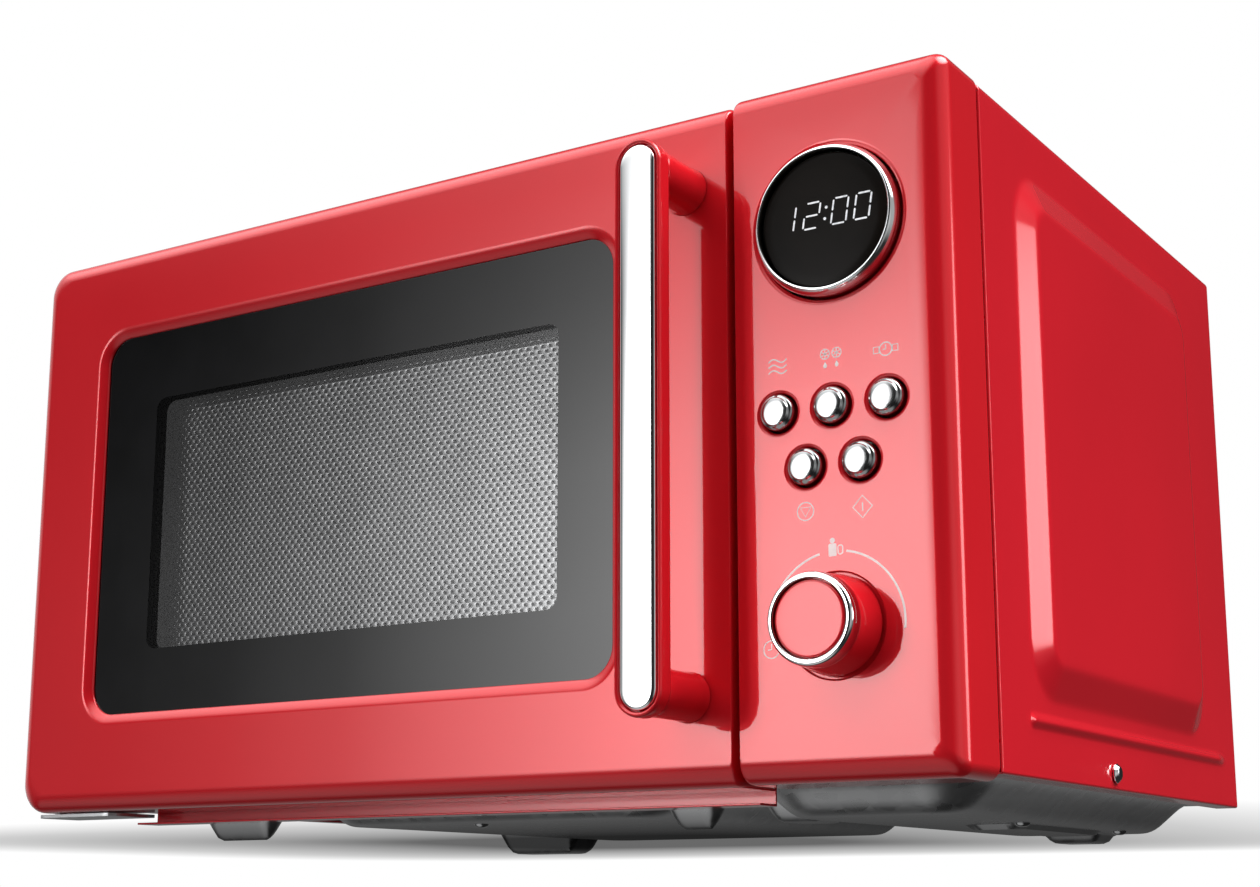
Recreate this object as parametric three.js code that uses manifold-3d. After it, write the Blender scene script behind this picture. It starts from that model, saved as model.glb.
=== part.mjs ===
// Retro microwave oven, as an assembly of separate pieces.
// Millimetres. X runs left to right, Y front to back and Z up. The origin is on the surface that
// the oven stands on, under the middle of its box.
import * as THREE from 'three';
import { mergeVertices } from 'three/addons/utils/BufferGeometryUtils.js';
import Module from 'manifold-3d';

const wasm = await Module();
wasm.setup();

// Driving dimensions ---------------------------------------------------------------------------

const SIDE_X = 221.5;            // flat side of the casing, left and right of the middle
const EMBOSS = 4.5;              // how far each side's pressed field stands out
const SHEET = 0.8;               // steel sheet
const FACE_Y = -134.5;           // flat front of the door and the control panel
const FRONT_DEPTH = 30.4;        // door and control panel, front to back
const REAR_Y = 168;              // rear edge of the cover
const BODY_BOTTOM = 12.8;        // underside of the door
const BODY_TOP = 258.8;          // top of the door and the cover
const PANEL_BOTTOM = 13.3;
const PANEL_TOP = 260.7;
const SEAM_X = 138.5;            // middle of the gap between door and control panel
const SEAM_GAP = 2;
const GAP = 0.4;                 // clearance between pieces that touch

const DOOR_BACK_Y = FACE_Y + FRONT_DEPTH;
const PLATE_Y = DOOR_BACK_Y + 0.6;      // front of the chassis front plate
const PLASTIC = 2.6;                    // wall of the door frame and the control panel

const CAVITY = { left: -197, right: 109, bottom: 34, top: 236, front: -102.4, back: 159 };
const MIDDLE_X = (CAVITY.left + CAVITY.right) / 2;
const MIDDLE_Y = (CAVITY.front + CAVITY.back) / 2;

const HINGE = { x: -211.5, y: -118, pin: 2.4, hole: 2.8 };
const LATCH = { x: 128.5, low: 75, high: 200 };
const CONTROLS_X = 177.4;               // column of the display, buttons and knob
const DISPLAY = { z: 205.9, radius: 27.2 };
const KNOB = { z: 64.7, radius: 17.2, reach: 20 };
const BUTTON = { radius: 6.4, hole: 6.8, proud: 2.4, rowA: 140.2, rowB: 119.9, pitch: 20.6 };
const HANDLE = { left: 110.4, right: 129.4, bottom: 34.4, top: 237.7, front: -168, back: -160 };

// Shape helpers --------------------------------------------------------------------------------

/** Rounded rectangle as [u, v] points; radii go top right, top left, bottom left, bottom right. */
function roundRect(u0, u1, v0, v1, radii, steps = 3) {
  const each = Array.isArray(radii) ? radii : [radii, radii, radii, radii];
  const corners = [[u1, v1], [u0, v1], [u0, v0], [u1, v0]];
  const points = [];
  corners.forEach(([u, v], quarter) => {
    const r = each[quarter];
    const centreU = u === u1 ? u - r : u + r;
    const centreV = v === v1 ? v - r : v + r;
    for (let step = 0; step <= steps; step += 1) {
      const angle = (quarter + step / steps) * Math.PI / 2;
      points.push([centreU + r * Math.cos(angle), centreV + r * Math.sin(angle)]);
    }
  });
  return points;
}

/** Circle as [u, v] points. */
function circle(u, v, radius, steps = 12) {
  return Array.from({ length: steps }, (_, step) => {
    const angle = (step + 0.5) * 2 * Math.PI / steps;
    return [u + radius * Math.cos(angle), v + radius * Math.sin(angle)];
  });
}

const ALONG = {
  x: (u, v, level) => [level, u, v],
  y: (u, v, level) => [u, level, v],
  z: (u, v, level) => [u, v, level],
};

/** Closed solid through a stack of [outline, level] pairs along an axis, with flat ends. */
function loft(axis, levels) {
  const count = levels[0][0].length;
  const positions = levels.flatMap(
    ([points, level]) => points.flatMap(([u, v]) => ALONG[axis](u, v, level)),
  );
  const index = [];
  for (let ring = 0; ring + 1 < levels.length; ring += 1) {
    for (let i = 0; i < count; i += 1) {
      const a = ring * count + i;
      const b = ring * count + (i + 1) % count;
      index.push(a, b, b + count, a, b + count, a + count);
    }
  }
  const ends = [[levels[0][0], 0, true], [levels.at(-1)[0], (levels.length - 1) * count, false]];
  for (const [points, start, reversed] of ends) {
    const flat = points.map(([u, v]) => new THREE.Vector2(u, v));
    const faces = THREE.ShapeUtils.triangulateShape(flat, []);
    for (const [a, b, c] of faces) {
      index.push(start + a, start + (reversed ? c : b), start + (reversed ? b : c));
    }
  }
  const geometry = new THREE.BufferGeometry();
  geometry.setAttribute('position', new THREE.Float32BufferAttribute(positions, 3));
  geometry.setIndex(index);
  return facingOut(geometry);
}

/** Straight solid of one outline. */
function prism(axis, points, from, to) {
  return loft(axis, [[points, from], [points, to]]);
}

/** Plain block between two corners. */
function block(x0, x1, y0, y1, z0, z1) {
  return new THREE.BoxGeometry(x1 - x0, y1 - y0, z1 - z0)
    .translate((x0 + x1) / 2, (y0 + y1) / 2, (z0 + z1) / 2);
}

/** Turned solid about an axis through the origin, from [radius, level] pairs. */
function turned(axis, profile, segments = 16) {
  const points = profile.map(([radius, level]) => new THREE.Vector2(radius, level));
  const geometry = new THREE.LatheGeometry(points, segments);
  if (axis === 'z') geometry.rotateX(Math.PI / 2);
  if (axis === 'x') geometry.rotateZ(-Math.PI / 2);
  return facingOut(geometry);
}

/** Round bar or hole along an axis, centred on (u, v). */
function rod(axis, u, v, radius, from, to, segments = 12) {
  return prism(axis, circle(u, v, radius, segments), from, to);
}

/** Merged copy of a geometry without repeated points or empty triangles. */
function welded(geometry) {
  const bare = geometry.clone();
  bare.deleteAttribute('normal');
  bare.deleteAttribute('uv');
  const merged = mergeVertices(bare, 1e-4);
  const all = Array.from(merged.index.array);
  const kept = [];
  for (let i = 0; i < all.length; i += 3) {
    const [a, b, c] = all.slice(i, i + 3);
    if (a !== b && b !== c && c !== a) kept.push(a, b, c);
  }
  merged.setIndex(kept);
  return merged;
}

/** Turns the faces of a closed geometry outwards where they point in. */
function facingOut(geometry) {
  const merged = welded(geometry);
  const index = merged.index.array;
  const position = merged.getAttribute('position');
  const [a, b, c] = [new THREE.Vector3(), new THREE.Vector3(), new THREE.Vector3()];
  let volume = 0;
  for (let i = 0; i < index.length; i += 3) {
    a.fromBufferAttribute(position, index[i]);
    b.fromBufferAttribute(position, index[i + 1]);
    c.fromBufferAttribute(position, index[i + 2]);
    volume += a.dot(b.cross(c));
  }
  if (volume < 0) merged.setIndex(Array.from(index).reverse());
  return merged;
}

function toSolid(geometry) {
  const merged = welded(geometry);
  return new wasm.Manifold(new wasm.Mesh({
    numProp: 3,
    vertProperties: new Float32Array(merged.getAttribute('position').array),
    triVerts: new Uint32Array(merged.index.array),
  }));
}

function toGeometry(solid) {
  const mesh = solid.getMesh();
  const geometry = new THREE.BufferGeometry();
  geometry.setAttribute('position', new THREE.Float32BufferAttribute(mesh.vertProperties, 3));
  geometry.setIndex(Array.from(mesh.triVerts));
  return geometry;
}

function join(first, ...others) {
  return toGeometry(others.reduce((sum, other) => sum.add(toSolid(other)), toSolid(first)));
}

function cut(first, ...others) {
  return toGeometry(others.reduce((rest, other) => rest.subtract(toSolid(other)), toSolid(first)));
}

/** Paint, metal or plastic of one piece. */
function finish(color, roughness, metalness = 0) {
  return new THREE.MeshStandardMaterial({ color, roughness, metalness });
}

const RED = [0xc8202f, 0.25];
const CHROME = [0xe6e8ea, 0.08, 1];
const STEEL = [0x8d9094, 0.45, 0.9];
const BLACK = [0x0b0b0c, 0.15];
const DARK_PLASTIC = [0x1e1f21, 0.5];
const PALE_PLASTIC = [0xd9d6cc, 0.5];
const COPPER = [0xb4653a, 0.4, 0.8];
const BOARD = [0x2f6b45, 0.6];

const oven = new THREE.Group();

/** Names a piece and puts it in a group. */
function piece(parent, name, look, geometry, x = 0, y = 0, z = 0) {
  geometry.computeVertexNormals();
  const mesh = new THREE.Mesh(geometry, finish(...look));
  mesh.name = name;
  mesh.position.set(x, y, z);
  parent.add(mesh);
  return mesh;
}

/** Nested group placed at a point. */
function groupAt(parent, x, y, z) {
  const group = new THREE.Group();
  group.position.set(x, y, z);
  parent.add(group);
  return group;
}

// Casing and chassis ---------------------------------------------------------------------------

const SIDE_SCREW = { y: 7.6, z: 22.1 };
const SCREW_HOLE = 2.4;
const REAR_LIP = { front: REAR_Y - 2.3, width: 12 };
const REAR_SCREWS = [['left', -190, 252], ['right', 190, 252], ['top', 0, 252]];
const FIELD = { front: -74, back: 124, bottom: 43.5, top: 237, slope: 12.5, corner: 22 };
const BEAD = { front: -76, back: 147, z: 35.8, height: 1.4 };

/** Solid that grows outwards along X on one side, from [outline, distance] pairs. */
function outwards(side, levels) {
  return loft('x', levels.map(([points, x]) => [points, side * x]));
}

/** Pressed field as a solid with its foot at a distance from the middle of the casing. */
function fieldSolid(side, foot, depth) {
  const { front, back, bottom, top, slope, corner } = FIELD;
  const rim = roundRect(front, back, bottom, top, corner);
  const head = roundRect(front + slope, back - slope, bottom + slope, top - slope, corner - slope / 2);
  return outwards(side, [[rim, foot - depth], [rim, foot], [head, foot + EMBOSS]]);
}

const sidePressing = (side) => fieldSolid(side, SIDE_X, SHEET + 1);

/** Hollow behind a pressing: the same form one sheet further in. */
const sideHollow = (side) => fieldSolid(side, SIDE_X - SHEET, 2);

/** Narrow pressed bead under the field. */
function sideBead(side) {
  const { front, back, z, height } = BEAD;
  const foot = roundRect(front, back, z - 2.2, z + 2.2, 2);
  const crest = roundRect(front + 3, back - 3, z - 0.8, z + 0.8, 0.7);
  return outwards(side, [[foot, SIDE_X - 0.5], [foot, SIDE_X], [crest, SIDE_X + height]]);
}

function outerCover() {
  const front = PLATE_Y - 0.2;
  const bottom = BODY_BOTTOM + 3;
  const shell = [3, 3, 1, 1];
  const inside = [2.2, 2.2, 0.5, 0.5];
  const outer = roundRect(-SIDE_X, SIDE_X, bottom, BODY_TOP, shell);
  const innerX = SIDE_X - SHEET;
  const inner = roundRect(-innerX, innerX, bottom + SHEET, BODY_TOP - SHEET, inside);
  let cover = prism('y', outer, front, REAR_Y);
  for (const side of [-1, 1]) cover = join(cover, sidePressing(side), sideBead(side));
  cover = cut(
    cover,
    prism('y', inner, front - 1, REAR_LIP.front),
    prism('y', inner, REAR_LIP.front + SHEET, REAR_Y + 1),
    block(-innerX + 9.2, innerX - 9.2, front - 1, REAR_Y + 1, bottom - 1, bottom + 2),
    block(-innerX + REAR_LIP.width, innerX - REAR_LIP.width, 160, REAR_Y + 1, 0, 246),
  );
  for (const side of [-1, 1]) {
    const ends = [side * (SIDE_X - 3), side * (SIDE_X + 1)];
    const hole = rod('x', SIDE_SCREW.y, SIDE_SCREW.z, SCREW_HOLE, ...ends, 10);
    cover = cut(cover, sideHollow(side), hole);
  }
  for (const [, x, z] of REAR_SCREWS) {
    cover = cut(cover, rod('y', x, z, SCREW_HOLE, REAR_LIP.front - 1, REAR_Y, 10));
  }
  return cover;
}

const LIP = { left: -167, right: 137, bottom: 7.4, forward: 11.4 };

function frontPlate() {
  const back = PLATE_Y + SHEET;
  const edge = SIDE_X - SHEET - 0.5;
  const mouth = roundRect(CAVITY.left, CAVITY.right, CAVITY.bottom, CAVITY.top, 6);
  const sheet = prism('y', roundRect(-edge, edge, 18.2, 257.4, 2), PLATE_Y, back);
  const lip = join(
    block(LIP.left, LIP.right, PLATE_Y, back, LIP.bottom, 19),
    block(LIP.left, LIP.right, PLATE_Y - LIP.forward, back, LIP.bottom, LIP.bottom + SHEET),
  );
  const holes = [LATCH.low, LATCH.high].map(
    (z) => block(LATCH.x - 6.5, LATCH.x + 7, PLATE_Y - 1, back + 1, z - 9.5, z + 9.5),
  );
  const hingeSlot = block(-220, -203, PLATE_Y - 1, back + 1, 252.4, 254.8);
  return cut(join(sheet, lip), prism('y', mouth, PLATE_Y - 1, back + 1), hingeSlot, ...holes);
}

const WAVE_SLOT = { front: -15, back: 55, bottom: 130, top: 190 };

function cavityBox() {
  const { left, right, bottom, top, front, back } = CAVITY;
  const outer = roundRect(left - SHEET, right + SHEET, bottom - SHEET, top + SHEET, 6.8);
  const outerBack = roundRect(left + 9, right - 9, bottom + 4, top - 4, 6.8);
  const inner = roundRect(left, right, bottom, top, 6);
  const innerBack = roundRect(left + 9, right - 9, bottom + 4.4, top - 4.4, 6);
  const shell = loft('y', [[outer, front], [outer, back - 9], [outerBack, back + SHEET]]);
  const room = loft('y', [[inner, front - 1], [inner, back - 9.4], [innerBack, back]]);
  const slot = block(
    right - 1, right + 2, WAVE_SLOT.front, WAVE_SLOT.back, WAVE_SLOT.bottom, WAVE_SLOT.top,
  );
  const lampHoles = [];
  for (const y of [84, 94]) {
    for (const z of [200, 208]) {
      lampHoles.push(rod('x', y, z, 2.2, right - 1, right + 2, 6));
    }
  }
  const shaftHole = rod('z', MIDDLE_X, MIDDLE_Y, 8, bottom - 2, bottom + 1);
  return cut(shell, room, slot, shaftHole, ...lampHoles);
}

const FLOOR_SHEET = { bottom: 17, top: 17.8, front: -99.5, back: 164 };
const PANS = [
  // each pan's floor [left, right, front, back], its depth and the run of its sloping walls
  { floor: [-148, -104, -93, -68], bottom: 0, run: 5 },
  { floor: [86, 110, -93, -70], bottom: 0, run: 5 },
  { floor: [-148, -104, 122, 148], bottom: 0, run: 6 },
  { floor: [150, 178, 112, 138], bottom: 0, run: 6 },
  { floor: [-92, 74, -84, 142], bottom: 6, run: 8 },
  { floor: [124, 200, -88, 146], bottom: 4.2, run: 9 },
];

/** Stamped pan as a solid, or as the hollow above it when raised by one sheet. */
function pan({ floor: [x0, x1, y0, y1], bottom, run }, hollow) {
  const lift = hollow ? SHEET : 0;
  const thin = hollow ? -0.7 : 0;
  const low = roundRect(x0 - thin, x1 + thin, y0 - thin, y1 + thin, 6, 2);
  const wide = run + thin;
  const high = roundRect(x0 - wide, x1 + wide, y0 - wide, y1 + wide, 9, 2);
  const top = FLOOR_SHEET.top + lift;
  return loft('z', [[low, bottom + lift], [high, FLOOR_SHEET.bottom + lift], [high, top]]);
}

function basePlate() {
  const edge = SIDE_X - 2 * SHEET;
  const { bottom, top, front, back } = FLOOR_SHEET;
  const sheet = block(-edge, edge, front, back, bottom, top);
  const flanges = [-1, 1].map((side) => {
    const [from, to] = [side * (edge - SHEET), side * edge].sort((a, b) => a - b);
    return block(from, to, front, back, bottom, 30);
  });
  let plate = join(sheet, ...flanges, ...PANS.map((each) => pan(each, false)));
  plate = cut(plate, ...PANS.map((each) => pan(each, true)));
  for (const side of [-1, 1]) {
    plate = cut(plate, rod('x', SIDE_SCREW.y, SIDE_SCREW.z, SCREW_HOLE, side * 217, side * 222, 10));
  }
  return plate;
}

const CORD_EXIT = { x: 195, z: 45 };
const VENT = { width: 36, height: 4.5, across: 42, up: 14 };
const REAR_VENTS = [{ left: 128, bottom: 116, rows: 6 }, { left: -188, bottom: 186, rows: 3 }];

function rearPlate() {
  const edge = SIDE_X - 2 * SHEET;
  const back = REAR_LIP.front - 0.3;
  const front = back - SHEET;
  const openings = [rod('y', CORD_EXIT.x, CORD_EXIT.z, 9, front - 1, back + 1)];
  for (const [, x, z] of REAR_SCREWS) {
    openings.push(rod('y', x, z, SCREW_HOLE, front - 1, back + 1, 10));
  }
  for (const { left, bottom, rows } of REAR_VENTS) {
    for (let row = 0; row < rows; row += 1) {
      for (const x of [left, left + VENT.across]) {
        const z = bottom + row * VENT.up;
        openings.push(block(x, x + VENT.width, front - 1, back + 1, z, z + VENT.height));
      }
    }
  }
  return cut(prism('y', roundRect(-edge, edge, 18.2, 257.4, 2), front, back), ...openings);
}

/** Pan-head screw along +X with its head's underside at the origin. */
function screw() {
  const head = 3.8;
  return turned('x', [
    [0, -7], [1.9, -6], [1.9, 0], [head, 0], [head, 0.7], [2.4, 2], [0, 2],
  ], 10);
}

/** Hinge bracket: a tongue under or inside the door, a tab on the front plate and the pin. */
function hingeBracket({ right, tongueBottom, tongueTop, tab, pin }) {
  const [left, front, back, round] = [-219, -126, -100.9, 6];
  const tongue = roundRect(left, right, front, back, [0.6, 0.6, round, round]);
  return join(
    prism('z', tongue, tongueBottom, tongueTop),
    block(tab.left, tab.right, back - 1.5, back, tab.bottom, tab.top),
    rod('z', HINGE.x, HINGE.y, HINGE.pin, ...pin),
  );
}

function lowerHinge() {
  const tab = { left: -210.6, right: -199.5, bottom: 10.9, top: 60 };
  return hingeBracket({ right: -171, tongueBottom: 10.9, tongueTop: 12.3, tab, pin: [11, 22] });
}

function upperHinge() {
  const tab = { left: -218, right: -204, bottom: 205, top: 254.2 };
  return hingeBracket({ right: -204, tongueBottom: 253, tongueTop: 254.2, tab, pin: [254, 257.6] });
}

/** Latch bracket: a block with one pocket and ledge for each hook. */
function latchBracket() {
  const back = -72;
  let bracket = block(117, 140, -102.4, back, 58, 216);
  for (const z of [LATCH.low, LATCH.high]) {
    bracket = cut(
      bracket,
      block(LATCH.x - 6, LATCH.x + 6.5, -104, -78, z - 2.6, z + 9),
      block(LATCH.x - 6, LATCH.x + 6.5, -92, -78, z - 8.2, z),
    );
  }
  return cut(bracket, block(119.5, 137.5, -104, -75, LATCH.low + 13, LATCH.high - 13));
}

/** Snap switch with its plunger towards the latch bracket. */
function doorSwitch() {
  return join(block(1.2, 8, -14, 14, -8, 8), block(0, 2, -6, -2, -2, 2));
}

const chassis = groupAt(oven, 0, 0, 0);
piece(chassis, 'outer_cover', RED, outerCover());
piece(chassis, 'front_plate', RED, frontPlate());
piece(chassis, 'cavity', STEEL, cavityBox());
piece(chassis, 'base_plate', STEEL, basePlate());
piece(chassis, 'rear_plate', STEEL, rearPlate());
piece(chassis, 'hinge_lower', STEEL, lowerHinge());
piece(chassis, 'hinge_upper', STEEL, upperHinge());
piece(chassis, 'latch_bracket', PALE_PLASTIC, latchBracket());
piece(chassis, 'door_switch_lower', DARK_PLASTIC, doorSwitch(), 140.4, -86, 75);
piece(chassis, 'door_switch_upper', DARK_PLASTIC, doorSwitch(), 140.4, -86, 200);

for (const [name, side] of [['cover_screw_left', -1], ['cover_screw_right', 1]]) {
  const fixing = piece(chassis, name, CHROME, screw());
  fixing.position.set(side * (SIDE_X + 0.3), SIDE_SCREW.y, SIDE_SCREW.z);
  if (side < 0) fixing.rotation.z = Math.PI;
}
for (const [place, x, z] of REAR_SCREWS) {
  const fixing = piece(chassis, `rear_screw_${place}`, STEEL, screw());
  fixing.position.set(x, REAR_LIP.front + SHEET + 0.3, z);
  fixing.scale.setScalar(0.55);
  fixing.rotation.z = Math.PI / 2;
}

const grommet = turned('y', [
  [4, -4], [11.5, -4], [11.5, -1.6], [8.6, -1.4], [8.6, 0.1], [11.5, 0.3], [9.5, 2.2], [4, 2.2],
  [4, -4],
]);
piece(chassis, 'cord_grommet', DARK_PLASTIC, grommet, CORD_EXIT.x, REAR_LIP.front, CORD_EXIT.z);

// High-voltage and air system ------------------------------------------------------------------

const TUBE = { y: -11, z: 151 };        // axis of the magnetron, along X

function waveguideBox() {
  const [x0, x1] = [CAVITY.right + SHEET + GAP, 141];
  return cut(
    block(x0, x1, -45, 60, 122, 198),
    block(x0 - 1, x1 - SHEET, -45 + SHEET, 60 - SHEET, 122 + SHEET, 198 - SHEET),
    rod('x', TUBE.y, TUBE.z, 9, x1 - 2, x1 + 1),
  );
}

function magnetronFins() {
  const frame = block(148, 198, -48, 26, 112, 190);
  const gaps = [154, 168.5, 183].map((x) => [x, x + 9]);
  const slots = gaps.map(([x0, x1]) => block(x0, x1, -60, 40, 115, 187));
  const spine = rod('x', TUBE.y, TUBE.z, 22, 149, 197);
  const bore = rod('x', TUBE.y, TUBE.z, 16.8, 140, 200);
  return cut(join(cut(frame, ...slots), spine), bore);
}

function magnetronBody() {
  const tube = turned('x', [
    [0, 118], [7, 121], [7, 142], [15.8, 147], [15.8, 200], [0, 200],
  ], 12).translate(0, TUBE.y, TUBE.z);
  return join(tube, block(199, 217, -42, 20, 121, 181));
}

const CORE = { front: -60, back: 0 };

function transformerCore() {
  return cut(
    block(132, 206, CORE.front, CORE.back, 18.3, 84),
    block(144, 154, CORE.front - 1, CORE.back + 1, 33, 69),
    block(184, 194, CORE.front - 1, CORE.back + 1, 33, 69),
  );
}

function transformerWinding() {
  return cut(
    prism('z', roundRect(144.5, 193.5, CORE.front - 10, CORE.back + 10, 6), 34, 68),
    block(153.6, 184.4, CORE.front - GAP, CORE.back + GAP, 33, 69),
  );
}

function capacitorCan() {
  const can = prism('y', roundRect(146, 200, 19, 52, 16), 16, 100);
  return join(can, block(160, 163, 99, 107, 32, 39), block(183, 186, 99, 107, 32, 39));
}

const FAN = { x: 166, z: 152, y: 118, bore: 43, blade: 40 };

function fanShroud() {
  const plate = block(FAN.x - 48, FAN.x + 48, FAN.y, FAN.y + 3, FAN.z - 48, FAN.z + 48);
  const collar = rod('y', FAN.x, FAN.z, FAN.bore + 2, FAN.y, FAN.y + 9, 20);
  return cut(join(plate, collar), rod('y', FAN.x, FAN.z, FAN.bore, 100, 140, 20));
}

/** Fan wheel: a hub with four pitched blades. */
function fanBlade() {
  const hub = turned('y', [[0, -5], [9, -5], [9, 6], [0, 6]]);
  const blades = Array.from({ length: 4 }, (_, i) => {
    const blade = new THREE.BoxGeometry(32, 1.4, 26);
    blade.rotateX(THREE.MathUtils.degToRad(24));
    blade.translate(23, 0, 0);
    blade.rotateY(i * Math.PI / 2);
    return blade;
  });
  const tips = rod('y', 0, 0, FAN.blade, -10, 10, 20);
  const wheel = toSolid(join(hub, ...blades)).intersect(toSolid(tips));
  return cut(toGeometry(wheel), rod('y', 0, 0, 1.9, -20, 20, 12));
}

function fanMotor() {
  const stack = block(-24, 24, 12, 28, -20, 26);
  const can = turned('y', [[0, -8], [1.5, -8], [1.5, 9.5], [12, 12], [12, 36], [0, 36]], 12);
  return join(stack, can);
}

function airDuct() {
  const [x0, x1, z0, z1] = [143, 214, 110, 192];
  return cut(
    block(x0, x1, 32, FAN.y - 6, z0, z1),
    block(x0 + 1.5, x1 - 1.5, 30, FAN.y, z0 + 1.5, z1 - 1.5),
  );
}

function filterBoard() {
  return join(
    block(118, 214, -60, 30, 216, 217.6),
    rod('z', 140, -35, 11, 217, 238),
    block(165, 200, -50, -38, 217, 228),
    block(170, 204, -20, 10, 217, 235),
  );
}

const lampProfile = [
  [0, 112], [9.5, 117], [9.5, 124], [7, 130], [7, 137], [11, 137], [11, 146], [0, 146],
];
const cutoutProfile = [[0, 110.3], [8, 110.3], [8, 114], [6, 115], [6, 121], [0, 121]];

const electrics = groupAt(oven, 0, 0, 0);
piece(electrics, 'waveguide', STEEL, waveguideBox());
piece(electrics, 'waveguide_cover', PALE_PLASTIC, block(107.9, 108.7, -22, 62, 124, 196));
piece(electrics, 'magnetron_body', STEEL, magnetronBody());
piece(electrics, 'magnetron_fins', STEEL, magnetronFins());
piece(electrics, 'transformer_core', STEEL, transformerCore());
piece(electrics, 'transformer_winding', COPPER, transformerWinding());
piece(electrics, 'capacitor', STEEL, capacitorCan());
piece(electrics, 'hv_diode', DARK_PLASTIC, rod('y', 128, 30, 4, 20, 52, 12));
piece(electrics, 'filter_board', BOARD, filterBoard());
piece(electrics, 'fan_shroud', DARK_PLASTIC, fanShroud());
piece(electrics, 'fan_blade', PALE_PLASTIC, fanBlade(), FAN.x, FAN.y + 1.5, FAN.z);
piece(electrics, 'fan_motor', STEEL, fanMotor(), FAN.x, FAN.y + 1.5, FAN.z);
piece(electrics, 'air_duct', DARK_PLASTIC, airDuct());
piece(electrics, 'cavity_lamp', PALE_PLASTIC, turned('x', lampProfile, 12), 0, 90, 204);
piece(electrics, 'thermal_cutout', DARK_PLASTIC, turned('x', cutoutProfile, 12), 0, 100, 80);

// Turntable ------------------------------------------------------------------------------------

const ROLLER = { radius: 7, ring: 94.5, z: CAVITY.bottom + 7.3, count: 3 };
const TRAY_Z = ROLLER.z + ROLLER.radius + 0.4;

function turntableMotor() {
  const can = turned('z', [[0, 18.3], [24.5, 18.3], [24.5, 32.6], [0, 32.6]], 20);
  const ears = block(-33, 33, -6, 6, 31, 32.6);
  return cut(join(can, ears), rod('z', 0, 0, 3.8, 29, 34));
}

/** Coupler: shaft, hub and three lobes that drive the tray. */
function trayCoupler() {
  const hub = turned('z', [
    [0, 29.6], [3.2, 29.6], [3.2, 34.8], [10, 34.8], [10, 39], [6, 40], [6, 47.6], [0, 47.6],
  ], 12);
  const lobes = Array.from({ length: 3 }, (_, i) => {
    const lobe = block(0, 17, -3.5, 3.5, 38, 47.6);
    return lobe.rotateZ(i * 2 * Math.PI / 3);
  });
  return join(hub, ...lobes);
}

/** Glass tray with a raised rim and three driving lugs underneath. */
function glassTray() {
  const dish = turned('z', [
    [0, TRAY_Z], [106, TRAY_Z], [118, TRAY_Z + 3.5], [122.5, TRAY_Z + 9], [121, TRAY_Z + 11],
    [105, TRAY_Z + 4.6], [0, TRAY_Z + 4.6],
  ], 36);
  const lugs = Array.from({ length: 3 }, (_, i) => {
    const lug = block(8, 15, -4, 4, TRAY_Z - 3.4, TRAY_Z + 1);
    return lug.rotateZ((i + 0.5) * 2 * Math.PI / 3);
  });
  return join(dish, ...lugs);
}

/** Ring that carries the rollers on stub axles. */
function rollerRing() {
  const [low, high] = [ROLLER.z - 2.6, ROLLER.z + 2.6];
  const ring = turned('z', [[82, low], [90, low], [90, high], [82, high], [82, low]], 30);
  const stubs = Array.from({ length: ROLLER.count }, (_, i) => {
    const stub = turned('x', [[0, 86], [2, 86], [2, 97.7], [3.4, 97.7], [3.4, 99.2], [0, 99.2]], 8);
    return stub.translate(0, 0, ROLLER.z).rotateZ(i * 2 * Math.PI / ROLLER.count);
  });
  return join(ring, ...stubs);
}

const rollerProfile = [[2.5, -2.6], [6.4, -2.6], [7, 0], [6.4, 2.6], [2.5, 2.6], [2.5, -2.6]];

const turntable = groupAt(oven, MIDDLE_X, MIDDLE_Y, 0);
piece(turntable, 'turntable_motor', STEEL, turntableMotor());
piece(turntable, 'tray_coupler', DARK_PLASTIC, trayCoupler());
piece(turntable, 'glass_tray', [0xdfeeea, 0.05], glassTray());
piece(turntable, 'roller_ring', PALE_PLASTIC, rollerRing());
for (let i = 0; i < ROLLER.count; i += 1) {
  const angle = i * 2 * Math.PI / ROLLER.count;
  const roller = piece(turntable, `tray_roller_${i + 1}`, DARK_PLASTIC, turned('x', rollerProfile));
  roller.position.set(ROLLER.ring * Math.cos(angle), ROLLER.ring * Math.sin(angle), ROLLER.z);
  roller.rotation.z = angle;
}

// Control panel --------------------------------------------------------------------------------

/** Solid with an inset for each level, so that its front edges are rounded. */
function facedBlock({ left, right, bottom, top, corner, edges }, levels) {
  return loft('y', levels.map(([y, inset, leftInset]) => {
    const [dl, dr, db, dt] = edges.map((share) => share * inset);
    const radii = corner.map((r) => Math.max(r - inset * 0.2, 0.6));
    const side = left + dl + (leftInset || 0);
    return [roundRect(side, right - dr, bottom + db, top - dt, radii), y];
  }));
}

const EDGE = 8;                         // rounding of the casing's front edges
const ROUND_FRONT = [0, 0.28, 0.55, 0.8, 1].map((part) => {
  const angle = part * Math.PI / 2;
  return [FACE_Y + EDGE * (1 - Math.sin(angle)), EDGE * (1 - Math.cos(angle))];
}).reverse();

const BUTTONS = [
  ['button_power', -BUTTON.pitch, BUTTON.rowA],
  ['button_defrost', 0, BUTTON.rowA],
  ['button_clock', BUTTON.pitch, BUTTON.rowA],
  ['button_stop', -BUTTON.pitch / 2, BUTTON.rowB],
  ['button_start', BUTTON.pitch / 2, BUTTON.rowB],
];

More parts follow.
